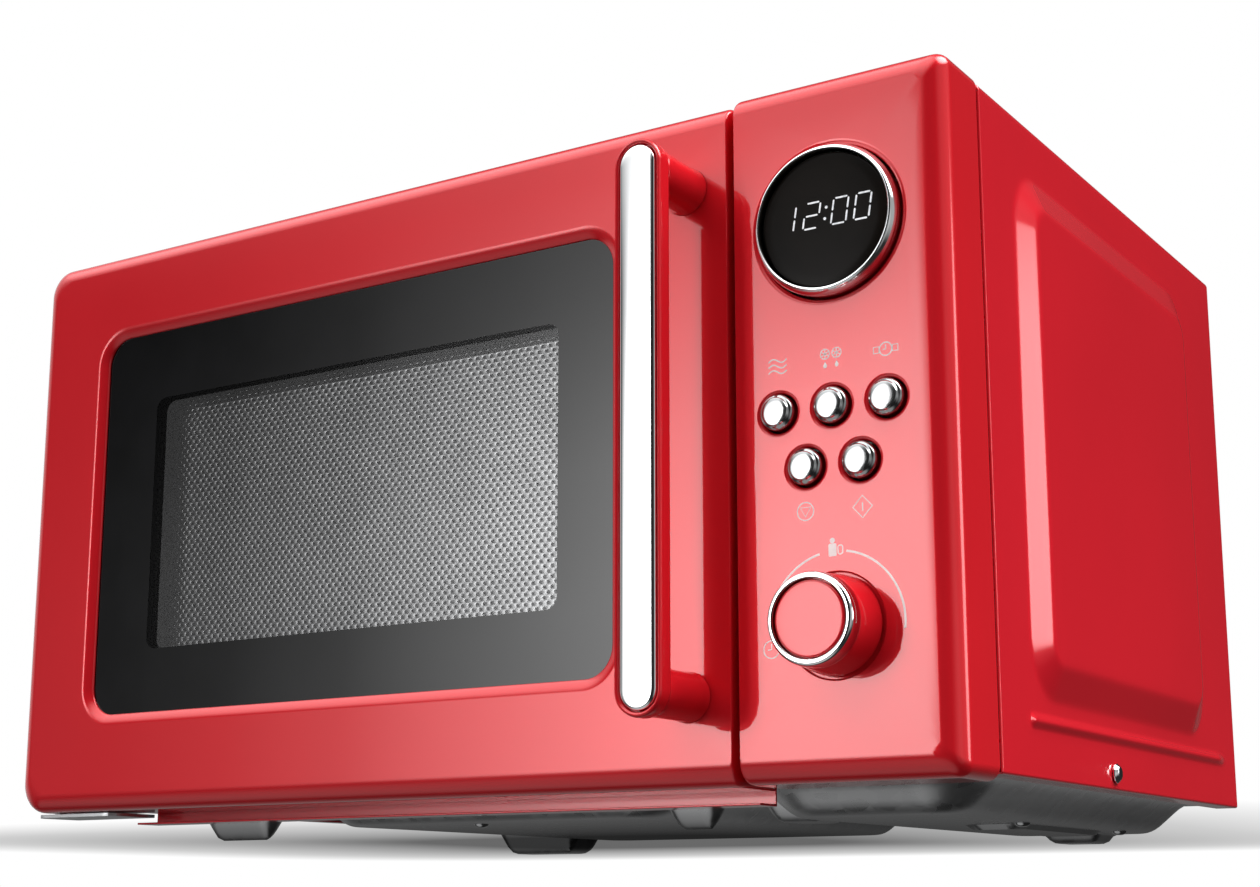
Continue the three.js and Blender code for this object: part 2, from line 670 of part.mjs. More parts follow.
function controlPanel() {
  const left = SEAM_X + SEAM_GAP / 2;
  const frame = {
    left, right: SIDE_X, bottom: PANEL_BOTTOM, top: PANEL_TOP, corner: [5, 2, 2, 5],
    edges: [0.2, 1, 1, 1],
  };
  const outer = facedBlock(frame, [...ROUND_FRONT, [DOOR_BACK_Y, 0]]);
  const room = prism('y', roundRect(
    left + PLASTIC, SIDE_X - PLASTIC, PANEL_BOTTOM + PLASTIC, PANEL_TOP - PLASTIC, 2,
  ), FACE_Y + EDGE, DOOR_BACK_Y + 1);
  const frontRoom = prism('y', roundRect(
    left + 4, SIDE_X - EDGE, PANEL_BOTTOM + EDGE, PANEL_TOP - EDGE, 2,
  ), FACE_Y + PLASTIC, FACE_Y + EDGE + 1);
  const cone = (x, z, wide, narrow, sides) => loft('y', [
    [circle(x, z, wide + 0.1, sides), FACE_Y - 0.1],
    [circle(x, z, narrow, sides), FACE_Y + 1.6],
    [circle(x, z, narrow, sides), FACE_Y + 4],
  ]);
  const holes = BUTTONS.map(([, dx, z]) => cone(CONTROLS_X + dx, z, 8.2, BUTTON.hole + 0.2, 12));
  return cut(
    outer, room, frontRoom, ...holes,
    cone(CONTROLS_X, DISPLAY.z, 29.4, DISPLAY.radius + GAP, 28),
    rod('y', CONTROLS_X, KNOB.z, 4, FACE_Y - 1, FACE_Y + 5),
    rod('y', CONTROLS_X, KNOB.z, KNOB.radius + 1.2, FACE_Y - 1, FACE_Y + 0.9, 24),
  );
}

/** Push button: domed cap, and a stem that reaches to the board. */
function pushButton() {
  return turned('y', [
    [0, -BUTTON.proud - 0.9], [4, -BUTTON.proud - 0.4], [BUTTON.radius, -1],
    [BUTTON.radius, 4.6], [2.5, 4.6], [2.5, 15.9], [0, 15.9],
  ], 12);
}

const controls = groupAt(oven, CONTROLS_X, FACE_Y, 0);
piece(oven, 'control_panel', RED, controlPanel());
for (const [name, dx, z] of BUTTONS) {
  piece(controls, name, CHROME, pushButton(), dx, 0, z);
}

const ringProfile = [
  [24.8, 6], [DISPLAY.radius, 6], [DISPLAY.radius, -4], [26, -5], [24.8, -4], [24.8, 6],
];
piece(controls, 'display_ring', CHROME, turned('y', ringProfile, 28), 0, 0, DISPLAY.z);
const lensProfile = [[0, -3], [24.3, -3], [24.3, 0], [0, 0]];
piece(controls, 'display_lens', BLACK, turned('y', lensProfile, 28), 0, 0, DISPLAY.z);
piece(controls, 'display_module', DARK_PLASTIC, block(-20, 20, 6.5, 17.4, -11, 11), 0, 0, DISPLAY.z);
piece(controls, 'control_board', BOARD, block(-33.4, 39.6, 18, 19.6, 30, 246));
const encoderCase = block(-6.5, 6.5, 11, 17.6, -6.5, 6.5);
piece(controls, 'encoder', STEEL, encoderCase, 0, 0, KNOB.z);

const knob = groupAt(controls, 0, 0, KNOB.z);
const neck = KNOB.radius - 1.6;
const knobProfile = [
  [0, -16.1], [12.8, -16.1], [12.8, -13.4], [neck, -13.4], [KNOB.radius, -0.4],
  [3.2, -0.4], [3.2, 10.6], [0, 10.6],
];
const bezelProfile = [
  [13.4, -13.8], [15.8, -13.8], [15.8, -19], [14.8, -KNOB.reach], [13.4, -19], [13.4, -13.8],
];
piece(knob, 'knob_body', RED, turned('y', knobProfile, 24));
piece(knob, 'knob_ring', CHROME, turned('y', bezelProfile, 24));
const capProfile = [[0, -19.4], [11.5, -19.2], [12.8, -18.7], [12.8, -16.5], [0, -16.5]];
piece(knob, 'knob_cap', RED, turned('y', capProfile, 24));

// Door -----------------------------------------------------------------------------------------

const WINDOW = { left: -179.5, right: 87, bottom: 53.2, top: 219.2, corner: 12 };

/** The door's back left edge is round about the hinge axis, so that it clears the chassis. */
function hingeInset(y) {
  const swing = DOOR_BACK_Y - HINGE.y + 0.1;
  const offset = y - HINGE.y;
  return HINGE.x + SIDE_X - Math.sqrt(swing * swing - offset * offset);
}

function doorFrame() {
  const right = SEAM_X - SEAM_GAP / 2;
  const frame = {
    left: -SIDE_X, right, bottom: BODY_BOTTOM, top: BODY_TOP, corner: [2, 11, 11, 2],
    edges: [1, 0.25, 1, 1],
  };
  const backLevels = [-108, -106.4, -105, DOOR_BACK_Y].map((y) => [y, 0, hingeInset(y)]);
  const outer = facedBlock(frame, [...ROUND_FRONT, [-112, 0, 0], ...backLevels]);
  const inner = (leftInset) => roundRect(
    -SIDE_X + PLASTIC + leftInset, right - PLASTIC, BODY_BOTTOM + PLASTIC, BODY_TOP - PLASTIC, 6,
  );
  const room = loft('y', [
    [inner(0), FACE_Y + EDGE], [inner(0), -110], [inner(10), DOOR_BACK_Y + 0.5],
  ]);
  const frontRoom = prism('y', roundRect(
    -SIDE_X + EDGE, right - 4, BODY_BOTTOM + EDGE, BODY_TOP - EDGE, 6,
  ), FACE_Y + PLASTIC, FACE_Y + EDGE + 1);
  const opening = (grow) => roundRect(
    WINDOW.left - grow, WINDOW.right + grow, WINDOW.bottom - grow, WINDOW.top + grow,
    WINDOW.corner + grow,
  );
  const dish = loft('y', [
    [opening(4.6), FACE_Y - 0.1], [opening(1.2), FACE_Y + 1.2], [opening(0), FACE_Y + 2.2],
    [opening(0), FACE_Y + 4],
  ]);
  const hollow = cut(outer, room, frontRoom, dish);
  const springPeg = block(124, right - 1, -117, -109, 233.6, 236);
  return cut(
    join(hollow, springPeg),
    rod('z', HINGE.x, HINGE.y, HINGE.hole, BODY_BOTTOM - 1, BODY_BOTTOM + 4),
    rod('z', HINGE.x, HINGE.y, HINGE.hole, BODY_TOP - 4, BODY_TOP - 0.8),
    block(-SIDE_X - 1, -204, -128.4, DOOR_BACK_Y + 1, 252.4, 254.8),
  );
}

/** Inner steel pan of the door, open to the front; its middle is the perforated field. */
function doorScreen() {
  const [left, right, bottom, top] = [-208.5, 123, 24, 247];
  const back = -106.6;
  const inner = roundRect(left + SHEET, right - SHEET, bottom + SHEET, top - SHEET, 5.2);
  return cut(
    prism('y', roundRect(left, right, bottom, top, 6), -122, back),
    prism('y', inner, -124, back - SHEET),
  );
}

function chokeCover() {
  return cut(
    prism('y', roundRect(-207, 122, 25, 246, 6), -106.2, -104.4),
    prism('y', roundRect(-185, 97, 46, 224, 8), -107, -104),
  );
}

/** Racetrack outline of the handle, drawn in by an inset. */
function race(inset) {
  const { left, right, bottom, top } = HANDLE;
  const radius = (right - left) / 2 - inset;
  return roundRect(left + inset, right - inset, bottom + inset, top - inset, radius, 5);
}

function handleBar() {
  const { left, right, bottom, top, front, back } = HANDLE;
  const radius = (right - left) / 2;
  const bar = loft('y', [
    [race(1), front + 0.6], [race(0), front + 2], [race(0), back - 1.5], [race(1.5), back],
  ]);
  const tray = loft('y', [[race(1.9), front], [race(1.9), front + 2.4]]);
  const middle = (left + right) / 2;
  const posts = [bottom + radius, top - radius].map(
    (z) => rod('y', middle, z, 8.8, back - 1, FACE_Y - 0.3, 16),
  );
  return join(cut(bar, tray), ...posts);
}

function handleTrim() {
  const { front } = HANDLE;
  return loft('y', [
    [race(5), front], [race(3), front + 0.6], [race(2.3), front + 1.5], [race(2.3), front + 2.1],
  ]);
}

/** Latch hook: a bar inside the door with two hooked arms that reach through the front plate. */
function latchHook() {
  const [x0, x1] = [LATCH.x - 2.5, LATCH.x + 2.5];
  const bar = block(x0, x1, -116, -110, 62, 214);
  const arms = [LATCH.low, LATCH.high].flatMap((z) => [
    block(x0, x1, -111, -84, z + 0.6, z + 5),
    block(x0, x1, -89.5, -84, z - 2, z + 2),
  ]);
  return join(bar, ...arms);
}

/** Coil spring that pulls the latch hook down. */
function latchSpring() {
  const turns = 4;
  const [bottom, top] = [215, 233];
  class Coil extends THREE.Curve {
    getPoint(t, target = new THREE.Vector3()) {
      const angle = t * turns * 2 * Math.PI;
      return target.set(2.6 * Math.cos(angle), 2.6 * Math.sin(angle), bottom + t * (top - bottom));
    }
  }
  const wire = new THREE.Shape(circle(0, 0, 0.45, 4).map(([u, v]) => new THREE.Vector2(u, v)));
  const coil = new THREE.ExtrudeGeometry(wire, {
    steps: turns * 8, extrudePath: new Coil(), bevelEnabled: false,
  });
  return facingOut(coil);
}

const door = groupAt(oven, 0, 0, 0);
piece(door, 'door_frame', RED, doorFrame());
const pane = prism('y', roundRect(
  WINDOW.left - 4.5, WINDOW.right + 4.5, WINDOW.bottom - 4.5, WINDOW.top + 4.5, 10,
), FACE_Y + PLASTIC + GAP, FACE_Y + PLASTIC + GAP + 3);
piece(door, 'door_window', BLACK, pane);
piece(door, 'door_screen', STEEL, doorScreen());
piece(door, 'choke_cover', DARK_PLASTIC, chokeCover());
piece(door, 'handle_bar', RED, handleBar());
piece(door, 'handle_trim', CHROME, handleTrim());
piece(door, 'latch_hook', PALE_PLASTIC, latchHook());
piece(door, 'latch_spring', STEEL, latchSpring(), LATCH.x, -113, 0);

export default oven;
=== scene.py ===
"""Retro microwave oven: fine surfaces, materials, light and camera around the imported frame.

Shapes are written in millimetres in the frame's own axes (X right, Y back, Z up) and turned into
metres when a piece is made.
"""
import math

import bmesh
import bpy
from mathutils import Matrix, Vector
from mathutils.geometry import delaunay_2d_cdt


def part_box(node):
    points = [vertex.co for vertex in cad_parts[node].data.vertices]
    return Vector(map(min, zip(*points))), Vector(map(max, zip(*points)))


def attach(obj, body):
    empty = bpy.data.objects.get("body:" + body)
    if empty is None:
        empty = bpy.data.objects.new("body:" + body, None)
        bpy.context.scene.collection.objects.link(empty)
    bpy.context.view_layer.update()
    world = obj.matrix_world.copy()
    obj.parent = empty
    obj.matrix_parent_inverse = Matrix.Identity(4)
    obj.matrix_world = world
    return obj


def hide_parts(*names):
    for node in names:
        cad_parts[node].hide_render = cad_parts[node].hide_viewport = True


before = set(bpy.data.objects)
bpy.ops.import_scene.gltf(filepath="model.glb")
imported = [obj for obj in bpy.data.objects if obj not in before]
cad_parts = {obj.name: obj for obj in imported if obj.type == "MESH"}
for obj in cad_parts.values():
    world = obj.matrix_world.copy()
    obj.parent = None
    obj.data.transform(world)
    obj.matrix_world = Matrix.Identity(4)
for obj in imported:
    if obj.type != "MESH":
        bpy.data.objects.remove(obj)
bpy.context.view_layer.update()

MM = 0.001
SCENE = bpy.context.scene


def corners(node):
    """Lowest and highest corner of a CAD node, in millimetres."""
    low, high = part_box(node)
    return [c / MM for c in low], [c / MM for c in high]


# Driving sizes, from the frame -------------------------------

DOOR_LOW, DOOR_HIGH = corners("door_frame")
PANEL_LOW, PANEL_HIGH = corners("control_panel")
COVER_LOW, COVER_HIGH = corners("outer_cover")
HANDLE_LOW, HANDLE_HIGH = corners("handle_bar")
TRIM_LOW, _ = corners("handle_trim")
PANE_LOW, PANE_HIGH = corners("door_window")
SCREEN_LOW, SCREEN_HIGH = corners("door_screen")
RING_LOW, RING_HIGH = corners("display_ring")
LENS_LOW, LENS_HIGH = corners("display_lens")
KNOB_LOW, KNOB_HIGH = corners("knob_body")
BEZEL_LOW, _ = corners("knob_ring")
CAP_LOW, _ = corners("knob_cap")
BASE_LOW, BASE_HIGH = corners("base_plate")
REAR_LOW, REAR_HIGH = corners("rear_plate")
TRAY_LOW, TRAY_HIGH = corners("glass_tray")
SPRING_LOW, SPRING_HIGH = corners("latch_spring")
GROMMET_LOW, GROMMET_HIGH = corners("cord_grommet")

FACE_Y = DOOR_LOW[1]            # flat front of the door and the control panel
BACK_Y = DOOR_HIGH[1]
SIDE_X = DOOR_LOW[0] * -1       # flat side of the casing
EDGE = 8.0                      # rounding of the front edges
WALL = 2.6                      # plastic wall
SHEET = 0.8                     # steel sheet
LAP = 4.5                       # how far the window pane runs behind the edge of its opening
CLEAR_PANE = (-149.5, 62, 80, 189.2)    # see-through part of the pane: left, right, bottom, top
CONTROLS_X = (RING_LOW[0] + RING_HIGH[0]) / 2
DISPLAY_Z = (RING_LOW[2] + RING_HIGH[2]) / 2
KNOB_Z = (KNOB_LOW[2] + KNOB_HIGH[2]) / 2


# Shape tools -------------------------------------------------

def rounded(u0, u1, v0, v1, radii, steps=8):
    """Rounded rectangle; radii go top right, top left, bottom left, bottom right."""
    each = radii if isinstance(radii, (list, tuple)) else [radii] * 4
    points = []
    for quarter, (u, v) in enumerate([(u1, v1), (u0, v1), (u0, v0), (u1, v0)]):
        r = each[quarter]
        cu = u - r if u == u1 else u + r
        cv = v - r if v == v1 else v + r
        for step in range(steps + 1):
            angle = (quarter + step / steps) * math.pi / 2
            points.append((cu + r * math.cos(angle), cv + r * math.sin(angle)))
    return points


def circle(u, v, radius, steps=48):
    turn = 2 * math.pi / steps
    return [(u + radius * math.cos(i * turn), v + radius * math.sin(i * turn)) for i in range(steps)]


def on_y(points, y):
    return [(u, y, v) for u, v in points]


def on_z(points, z):
    return [(u, v, z) for u, v in points]


def from_level(level, pairs):
    """(Size, level) pairs from (size, distance past a level) pairs."""
    return [(size, level + distance) for size, distance in pairs]


def ease(t, soft=0.2):
    """Rises from 0 to 1 as t does, with both ends of the ramp rounded."""
    def knee(u):
        if u <= -soft:
            return 0.0
        if u >= soft:
            return u
        return (u + soft) ** 2 / (4 * soft)
    return knee(t) - knee(t - 1)


def inside_rounded(u, v, u0, u1, v0, v1, radius):
    """Distance inside a rounded rectangle's edge; negative outside."""
    du = abs(u - (u0 + u1) / 2) - (u1 - u0) / 2 + radius
    dv = abs(v - (v0 + v1) / 2) - (v1 - v0) / 2 + radius
    return radius - math.hypot(max(du, 0), max(dv, 0)) - min(max(du, dv), 0)


def between(low, high, step):
    """Evenly spaced values from low to high, about a step apart."""
    count = max(1, round((high - low) / step))
    return [low + (high - low) * i / count for i in range(count + 1)]


def chained(*runs):
    """One list from several that meet end to end."""
    values = list(runs[0])
    for run in runs[1:]:
        values.extend(run[1:])
    return values


class Shape:
    """Points in millimetres and faces, gathered into one piece."""

    def __init__(self):
        self.points = []
        self.faces = []
        self.looks = []

    def add(self, points, faces, look=0):
        start = len(self.points)
        self.points.extend(points)
        self.faces.extend(tuple(start + i for i in face) for face in faces)
        self.looks.extend([look] * len(faces))
        return self

    def loft(self, loops, caps=(False, False), closed=True, cyclic=False):
        """Skin through loops with the same number of points."""
        count = len(loops[0])
        points = [p for loop in loops for p in loop]
        around = count if closed else count - 1
        faces = []
        rings = len(loops) if cyclic else len(loops) - 1
        for ring in range(rings):
            near = ring * count
            far = (ring + 1) % len(loops) * count
            for i in range(around):
                j = (i + 1) % count
                faces.append((near + i, near + j, far + j, far + i))
        if caps[0]:
            faces.append(tuple(range(count))[::-1])
        if caps[1]:
            faces.append(tuple((len(loops) - 1) * count + i for i in range(count)))
        return self.add(points, faces)

    def lathe(self, profile, centre, axis="y", steps=64, cyclic=False):
        """Turned surface from (radius, level) pairs about an axis through centre (u, v)."""
        place = on_z if axis == "z" else on_y
        loops = [place(circle(*centre, max(radius, 1e-4), steps), level) for radius, level in profile]
        return self.loft(loops, cyclic=cyclic)

    def flat(self, outline, holes, y, look=0):
        """Flat region between an outline and its holes, facing front or back."""
        loops = [outline, *holes]
        coords = [Vector(p) for loop in loops for p in loop]
        edges = []
        start = 0
        for loop in loops:
            edges.extend((start + i, start + (i + 1) % len(loop)) for i in range(len(loop)))
            start += len(loop)
        found, _, triangles, *_ = delaunay_2d_cdt(coords, edges, [], 0, 1e-6)
        kept = []
        for triangle in triangles:
            middle = sum((found[i] for i in triangle), Vector((0, 0))) / 3
            if within(middle, outline) and not any(within(middle, hole) for hole in holes):
                kept.append(triangle)
        return self.add(on_y(found, y), kept, look)

    def slab(self, outline, low, high, axis="y"):
        """Solid of one outline between two levels."""
        place = on_z if axis == "z" else on_y
        return self.loft([place(outline, low), place(outline, high)], (True, True))


def within(point, loop):
    inside = False
    x, y = point[0], point[1]
    for (x0, y0), (x1, y1) in zip(loop, loop[1:] + loop[:1]):
        if (y0 > y) != (y1 > y) and x < (x1 - x0) * (y - y0) / (y1 - y0) + x0:
            inside = not inside
    return inside


def grown(loop, distance):
    """Outline moved outwards by a distance along its corner normals."""
    count = len(loop)
    area = sum(loop[i][0] * loop[(i + 1) % count][1] - loop[(i + 1) % count][0] * loop[i][1]
               for i in range(count))
    turn = 1 if area > 0 else -1
    result = []
    for i, (x, y) in enumerate(loop):
        before = Vector(loop[i]) - Vector(loop[i - 1])
        after = Vector(loop[(i + 1) % count]) - Vector(loop[i])
        before = before.normalized() if before.length > 1e-6 else after.normalized()
        after = after.normalized() if after.length > 1e-6 else before
        along = before + after
        normal = Vector((-along.y, along.x)) * turn
        if normal.length < 1e-6:
            result.append((x, y))
            continue
        normal.normalize()
        spread = max(0.4, normal.dot(Vector((-after.y, after.x)) * turn))
        result.append((x - normal.x * distance / spread, y - normal.y * distance / spread))
    return result


def settle(obj):
    """Applies the modifiers of a piece."""
    graph = bpy.context.evaluated_depsgraph_get()
    mesh = bpy.data.meshes.new_from_object(obj.evaluated_get(graph))
    obj.modifiers.clear()
    old = obj.data
    obj.data = mesh
    mesh.name = obj.name
    bpy.data.meshes.remove(old)


def make(name, shape, body, looks, replaces=(), thickness=0.0, cutters=(), sharp=35.0):
    """Turns a shape into a finished piece that rides on a CAD body."""
    mesh = bpy.data.meshes.new(name)
    mesh.from_pydata([Vector(p) * MM for p in shape.points], [], shape.faces)
    for look in looks:
        mesh.materials.append(look)
    for face, index in zip(mesh.polygons, shape.looks):
        face.material_index = index
    work = bmesh.new()
    work.from_mesh(mesh)
    bmesh.ops.remove_doubles(work, verts=work.verts, dist=2e-6)
    bmesh.ops.dissolve_degenerate(work, dist=1e-7, edges=work.edges)
    bmesh.ops.recalc_face_normals(work, faces=work.faces)
    for face in work.faces:
        face.smooth = True
    work.to_mesh(mesh)
    work.free()
    obj = bpy.data.objects.new(name, mesh)
    SCENE.collection.objects.link(obj)
    if thickness:
        solid = obj.modifiers.new("wall", "SOLIDIFY")
        solid.thickness = thickness * MM
        solid.offset = -1
        solid.use_even_offset = True
        settle(obj)
    for number, cutter in enumerate(cutters):
        carve(obj, cutter, f"{name}_cutter_{number}")
    soften(obj, sharp)
    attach(obj, body)
    if replaces:
        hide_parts(*replaces)
    return obj


def carve(obj, shape, name):
    """Cuts a closed shape out of a piece."""
    mesh = bpy.data.meshes.new(name)
    mesh.from_pydata([Vector(p) * MM for p in shape.points], [], shape.faces)
    tool = bpy.data.objects.new(name, mesh)
    SCENE.collection.objects.link(tool)
    cut = obj.modifiers.new("cut", "BOOLEAN")
    cut.operation = "DIFFERENCE"
    cut.solver = "EXACT"
    cut.object = tool
    settle(obj)
    bpy.data.objects.remove(tool)
    bpy.data.meshes.remove(mesh)


def soften(obj, sharp):
    """Smooth shading that keeps flat faces flat and edges over an angle crisp."""
    mesh = obj.data
    work = bmesh.new()
    work.from_mesh(mesh)
    limit = math.radians(sharp)
    for face in work.faces:
        face.smooth = True
    for edge in work.edges:
        if len(edge.link_faces) == 2:
            edge.smooth = edge.calc_face_angle(0.0) < limit
    work.to_mesh(mesh)
    work.free()
    weights = obj.modifiers.new("flat faces stay flat", "WEIGHTED_NORMAL")
    weights.keep_sharp = True
    weights.weight = 100


def bevelled(node, width, look):
    """Gives a CAD node its material and slightly rounded edges."""
    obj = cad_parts[node]
    obj.data.materials.clear()
    obj.data.materials.append(look)
    for face in obj.data.polygons:
        face.use_smooth = True
        face.material_index = 0
    weld = obj.modifiers.new("weld", "WELD")
    weld.merge_threshold = 1e-6
    bevel = obj.modifiers.new("edges", "BEVEL")
    bevel.width = width * MM
    bevel.segments = 2
    bevel.limit_method = "ANGLE"
    bevel.angle_limit = math.radians(30.0)
    weights = obj.modifiers.new("flat faces stay flat", "WEIGHTED_NORMAL")
    weights.keep_sharp = True


# Materials ---------------------------------------------------

class Nodes:
    """Builds nodes in one shader tree."""

    def __init__(self, tree):
        self.tree = tree

    def node(self, kind, inputs=(), **settings):
        """New node; each input is linked when it is a socket, and set when it is a plain value."""
        made = self.tree.nodes.new(kind)
        for key, value in settings.items():
            setattr(made, key, value)
        for key, value in dict(inputs).items():
            if isinstance(value, bpy.types.NodeSocket):
                self.tree.links.new(value, made.inputs[key])
            else:
                made.inputs[key].default_value = value
        return made

    def maths(self, operation, a, b=0.0):
        return self.node("ShaderNodeMath", {0: a, 1: b}, operation=operation).outputs[0]

    def ramp(self, value, *stops):
        """Colour ramp from (position, colour or grey) stops."""
        made = self.node("ShaderNodeValToRGB", {"Fac": value})
        elements = made.color_ramp.elements
        while len(elements) < len(stops):
            elements.new(0.5)
        for element, (position, colour) in zip(elements, stops):
            element.position = position
            grey = isinstance(colour, (int, float))
            element.color = (colour, colour, colour, 1) if grey else (*colour, 1)
        return made.outputs["Color"]


class Look(Nodes):
    """A Principled material with helpers for its procedural detail."""

    def __init__(self, name, base, roughness, metallic=0.0, **sockets):
        self.material = bpy.data.materials.new(name)
        self.material.use_nodes = True
        super().__init__(self.material.node_tree)
        self.shader = self.tree.nodes["Principled BSDF"]
        self.base = (*base, 1)
        self.shader.inputs["Base Color"].default_value = self.base
        self.shader.inputs["Roughness"].default_value = roughness
        self.roughness = roughness
        self.shader.inputs["Metallic"].default_value = metallic
        for socket, value in sockets.items():
            self.shader.inputs[socket.replace("_", " ")].default_value = value
        self.coords = self.node("ShaderNodeTexCoord").outputs["Object"]
        self.last_normal = None

    def noise(self, scale, detail=3.0, rough=0.5, stretch=None):
        vector = self.coords
        if stretch:
            vector = self.node("ShaderNodeMapping", {"Vector": vector, "Scale": stretch}).outputs[0]
        inputs = {"Vector": vector, "Scale": scale, "Detail": detail, "Roughness": rough}
        return self.node("ShaderNodeTexNoise", inputs).outputs["Fac"]

    def scaled(self, value, low, high):
        inputs = {"Value": value, "To Min": low, "To Max": high}
        return self.node("ShaderNodeMapRange", inputs).outputs["Result"]

    def mixed(self, factor, a, b):
        a, b = (c if isinstance(c, bpy.types.NodeSocket) else (*c, 1) for c in (a, b))
        return self.node("ShaderNodeMix", {0: factor, 6: a, 7: b}, data_type="RGBA").outputs[2]

    def into(self, socket, value):
        self.tree.links.new(value, self.shader.inputs[socket])
        return self

    def vary(self, amount, scale):
        """Slight lighter and darker areas over the base colour."""
        dark = [c * (1 - amount) for c in self.base[:3]]
        light = [min(1, c * (1 + amount)) for c in self.base[:3]]
        return self.into("Base Color", self.ramp(self.noise(scale, 4.0), (0.35, dark), (0.65, light)))

    def smudge(self, amount, scale):
        """Uneven roughness, as from handling and cleaning."""
        low, high = max(0.0, self.roughness - amount), self.roughness + amount
        return self.into("Roughness", self.scaled(self.noise(scale, 5.0, 0.6), low, high))

    def bump(self, height, depth):
        """Surface relief from a height value; depth is in millimetres."""
        inputs = {"Height": height, "Distance": depth * MM}
        if self.last_normal is not None:
            inputs["Normal"] = self.last_normal
        self.last_normal = self.node("ShaderNodeBump", inputs).outputs["Normal"]
        return self.into("Normal", self.last_normal)


def gloss_red(name, base, orange_peel, coat_roughness):
    """Pigmented gloss: a clear white reflection over a softer red one."""
    look = Look(name, base, 0.25, 0.16, Coat_Weight=1.0, Coat_Roughness=coat_roughness, Coat_IOR=1.5,
                Specular_IOR_Level=0.06)
    look.vary(0.03, 9.0)
    look.smudge(0.04, 14.0)
    look.bump(look.noise(420.0, 2.0), orange_peel)
    return look.material


def metal(name, base, roughness, scratches=0.0, stretch=(1, 1, 40)):
    look = Look(name, base, roughness, 1.0)
    look.vary(0.05, 18.0)
    look.smudge(roughness * 0.35, 30.0)
    if scratches:
        look.bump(look.noise(260.0, 3.0, stretch=stretch), scratches)
    return look.material


def galvanised(name, light, dark, roughness):
    """Zinc sheet with its small patches of crystal."""
    look = Look(name, light, roughness, 1.0)
    cells = look.node("ShaderNodeTexVoronoi", {"Vector": look.coords, "Scale": 230.0})
    patch = look.node("ShaderNodeSeparateColor", {"Color": cells.outputs["Color"]}).outputs[0]
    cloudy = look.maths("MULTIPLY", look.noise(9.0, 2.0), 0.7)
    blend = look.maths("ADD", look.maths("MULTIPLY", patch, 0.3), cloudy)
    look.into("Base Color", look.ramp(blend, (0.2, dark), (0.8, light)))
    look.into("Roughness", look.scaled(patch, roughness - 0.04, roughness + 0.06))
    look.bump(look.noise(600.0, 2.0), 0.006)
    return look.material


def plastic(name, base, roughness, grain=0.02):
    look = Look(name, base, roughness)
    look.vary(0.08, 25.0)
    look.smudge(0.06, 60.0)
    look.bump(look.noise(1400.0, 2.0), grain)
    return look.material


RED_PLASTIC = gloss_red("red_gloss_plastic", (0.72, 0.012, 0.021), 0.004, 0.03)
RED_PAINT = gloss_red("red_enamel_paint", (0.74, 0.013, 0.026), 0.006, 0.07)
CHROME = metal("chrome_plate", (0.82, 0.83, 0.84), 0.06)
GALVANISED = galvanised("galvanised_sheet", (0.62, 0.63, 0.64), (0.5, 0.51, 0.52), 0.38)
DARK_BASE = galvanised("base_sheet", (0.62, 0.625, 0.63), (0.5, 0.504, 0.51), 0.3)
SATIN = metal("satin_chrome", (0.4, 0.405, 0.41), 0.13)
MAGNETRON = metal("pressed_steel", (0.42, 0.43, 0.44), 0.38, 0.02)
ALUMINIUM = metal("fin_aluminium", (0.72, 0.72, 0.74), 0.3, 0.03, (1, 30, 1))
SPRING = metal("spring_steel", (0.5, 0.5, 0.52), 0.25, 0.01)
DARK_PLASTIC = plastic("dark_plastic", (0.02, 0.02, 0.022), 0.42)
PALE_PLASTIC = plastic("pale_plastic", (0.62, 0.6, 0.55), 0.45)


def black_glass():
    look = Look("black_printed_glass", (0.004, 0.004, 0.0045), 0.03, Specular_IOR_Level=0.47)
    look.vary(0.3, 40.0)
    look.smudge(0.012, 20.0)
    return look.material


def display_glass():
    """Dark display cover with a dulled surface."""
    look = Look("display_cover", (0.007, 0.0055, 0.0045), 0.16, Specular_IOR_Level=0.04)
    look.vary(0.3, 40.0)
    look.smudge(0.03, 20.0)
    return look.material


def window_glass():
    """Clear glass: see-through, with a mirror gloss that grows towards glancing angles."""
    look = Look("clear_window_glass", (0.9, 0.9, 0.91), 0.03, 1.0)
    look.smudge(0.012, 20.0)
    look.vary(0.05, 30.0)
    look.into("Alpha", look.node("ShaderNodeFresnel", {"IOR": 1.32}).outputs[0])
    return look.material


def clear_glass():
    """Thick clear glass: a faint pale body with a gloss that grows towards glancing angles."""
    look = Look("clear_tray_glass", (0.86, 0.9, 0.89), 0.03, 0.6)
    look.smudge(0.012, 30.0)
    look.vary(0.03, 20.0)
    gloss = look.node("ShaderNodeFresnel", {"IOR": 1.5}).outputs[0]
    look.into("Alpha", look.maths("ADD", gloss, 0.1))
    look.bump(look.noise(45.0, 2.0), 0.02)
    return look.material


def enamel():
    """Grey cavity enamel with fine flecks."""
    look = Look("cavity_enamel", (0.43, 0.44, 0.45), 0.3, Coat_Weight=0.4, Coat_Roughness=0.2)
    flecks = look.node("ShaderNodeTexVoronoi", {"Vector": look.coords, "Scale": 900.0})
    near = look.ramp(flecks.outputs["Distance"], (0.12, 1.0), (0.2, 0.0))
    look.into("Base Color", look.mixed(near, (0.43, 0.44, 0.45), (0.2, 0.205, 0.21)))
    look.smudge(0.06, 25.0)
    look.bump(look.noise(500.0, 2.0), 0.015)
    return look.material


def copper_winding():
    look = Look("copper_winding", (0.5, 0.2, 0.09), 0.35, 0.7, Coat_Weight=0.5)
    wires = look.node("ShaderNodeTexWave", {"Vector": look.coords, "Scale": 320.0, "Distortion": 0.4},
                      bands_direction="Z").outputs["Fac"]
    look.into("Base Color", look.ramp(wires, (0.1, (0.16, 0.05, 0.02)), (0.7, (0.6, 0.27, 0.12))))
    look.bump(wires, 0.25)
    return look.material


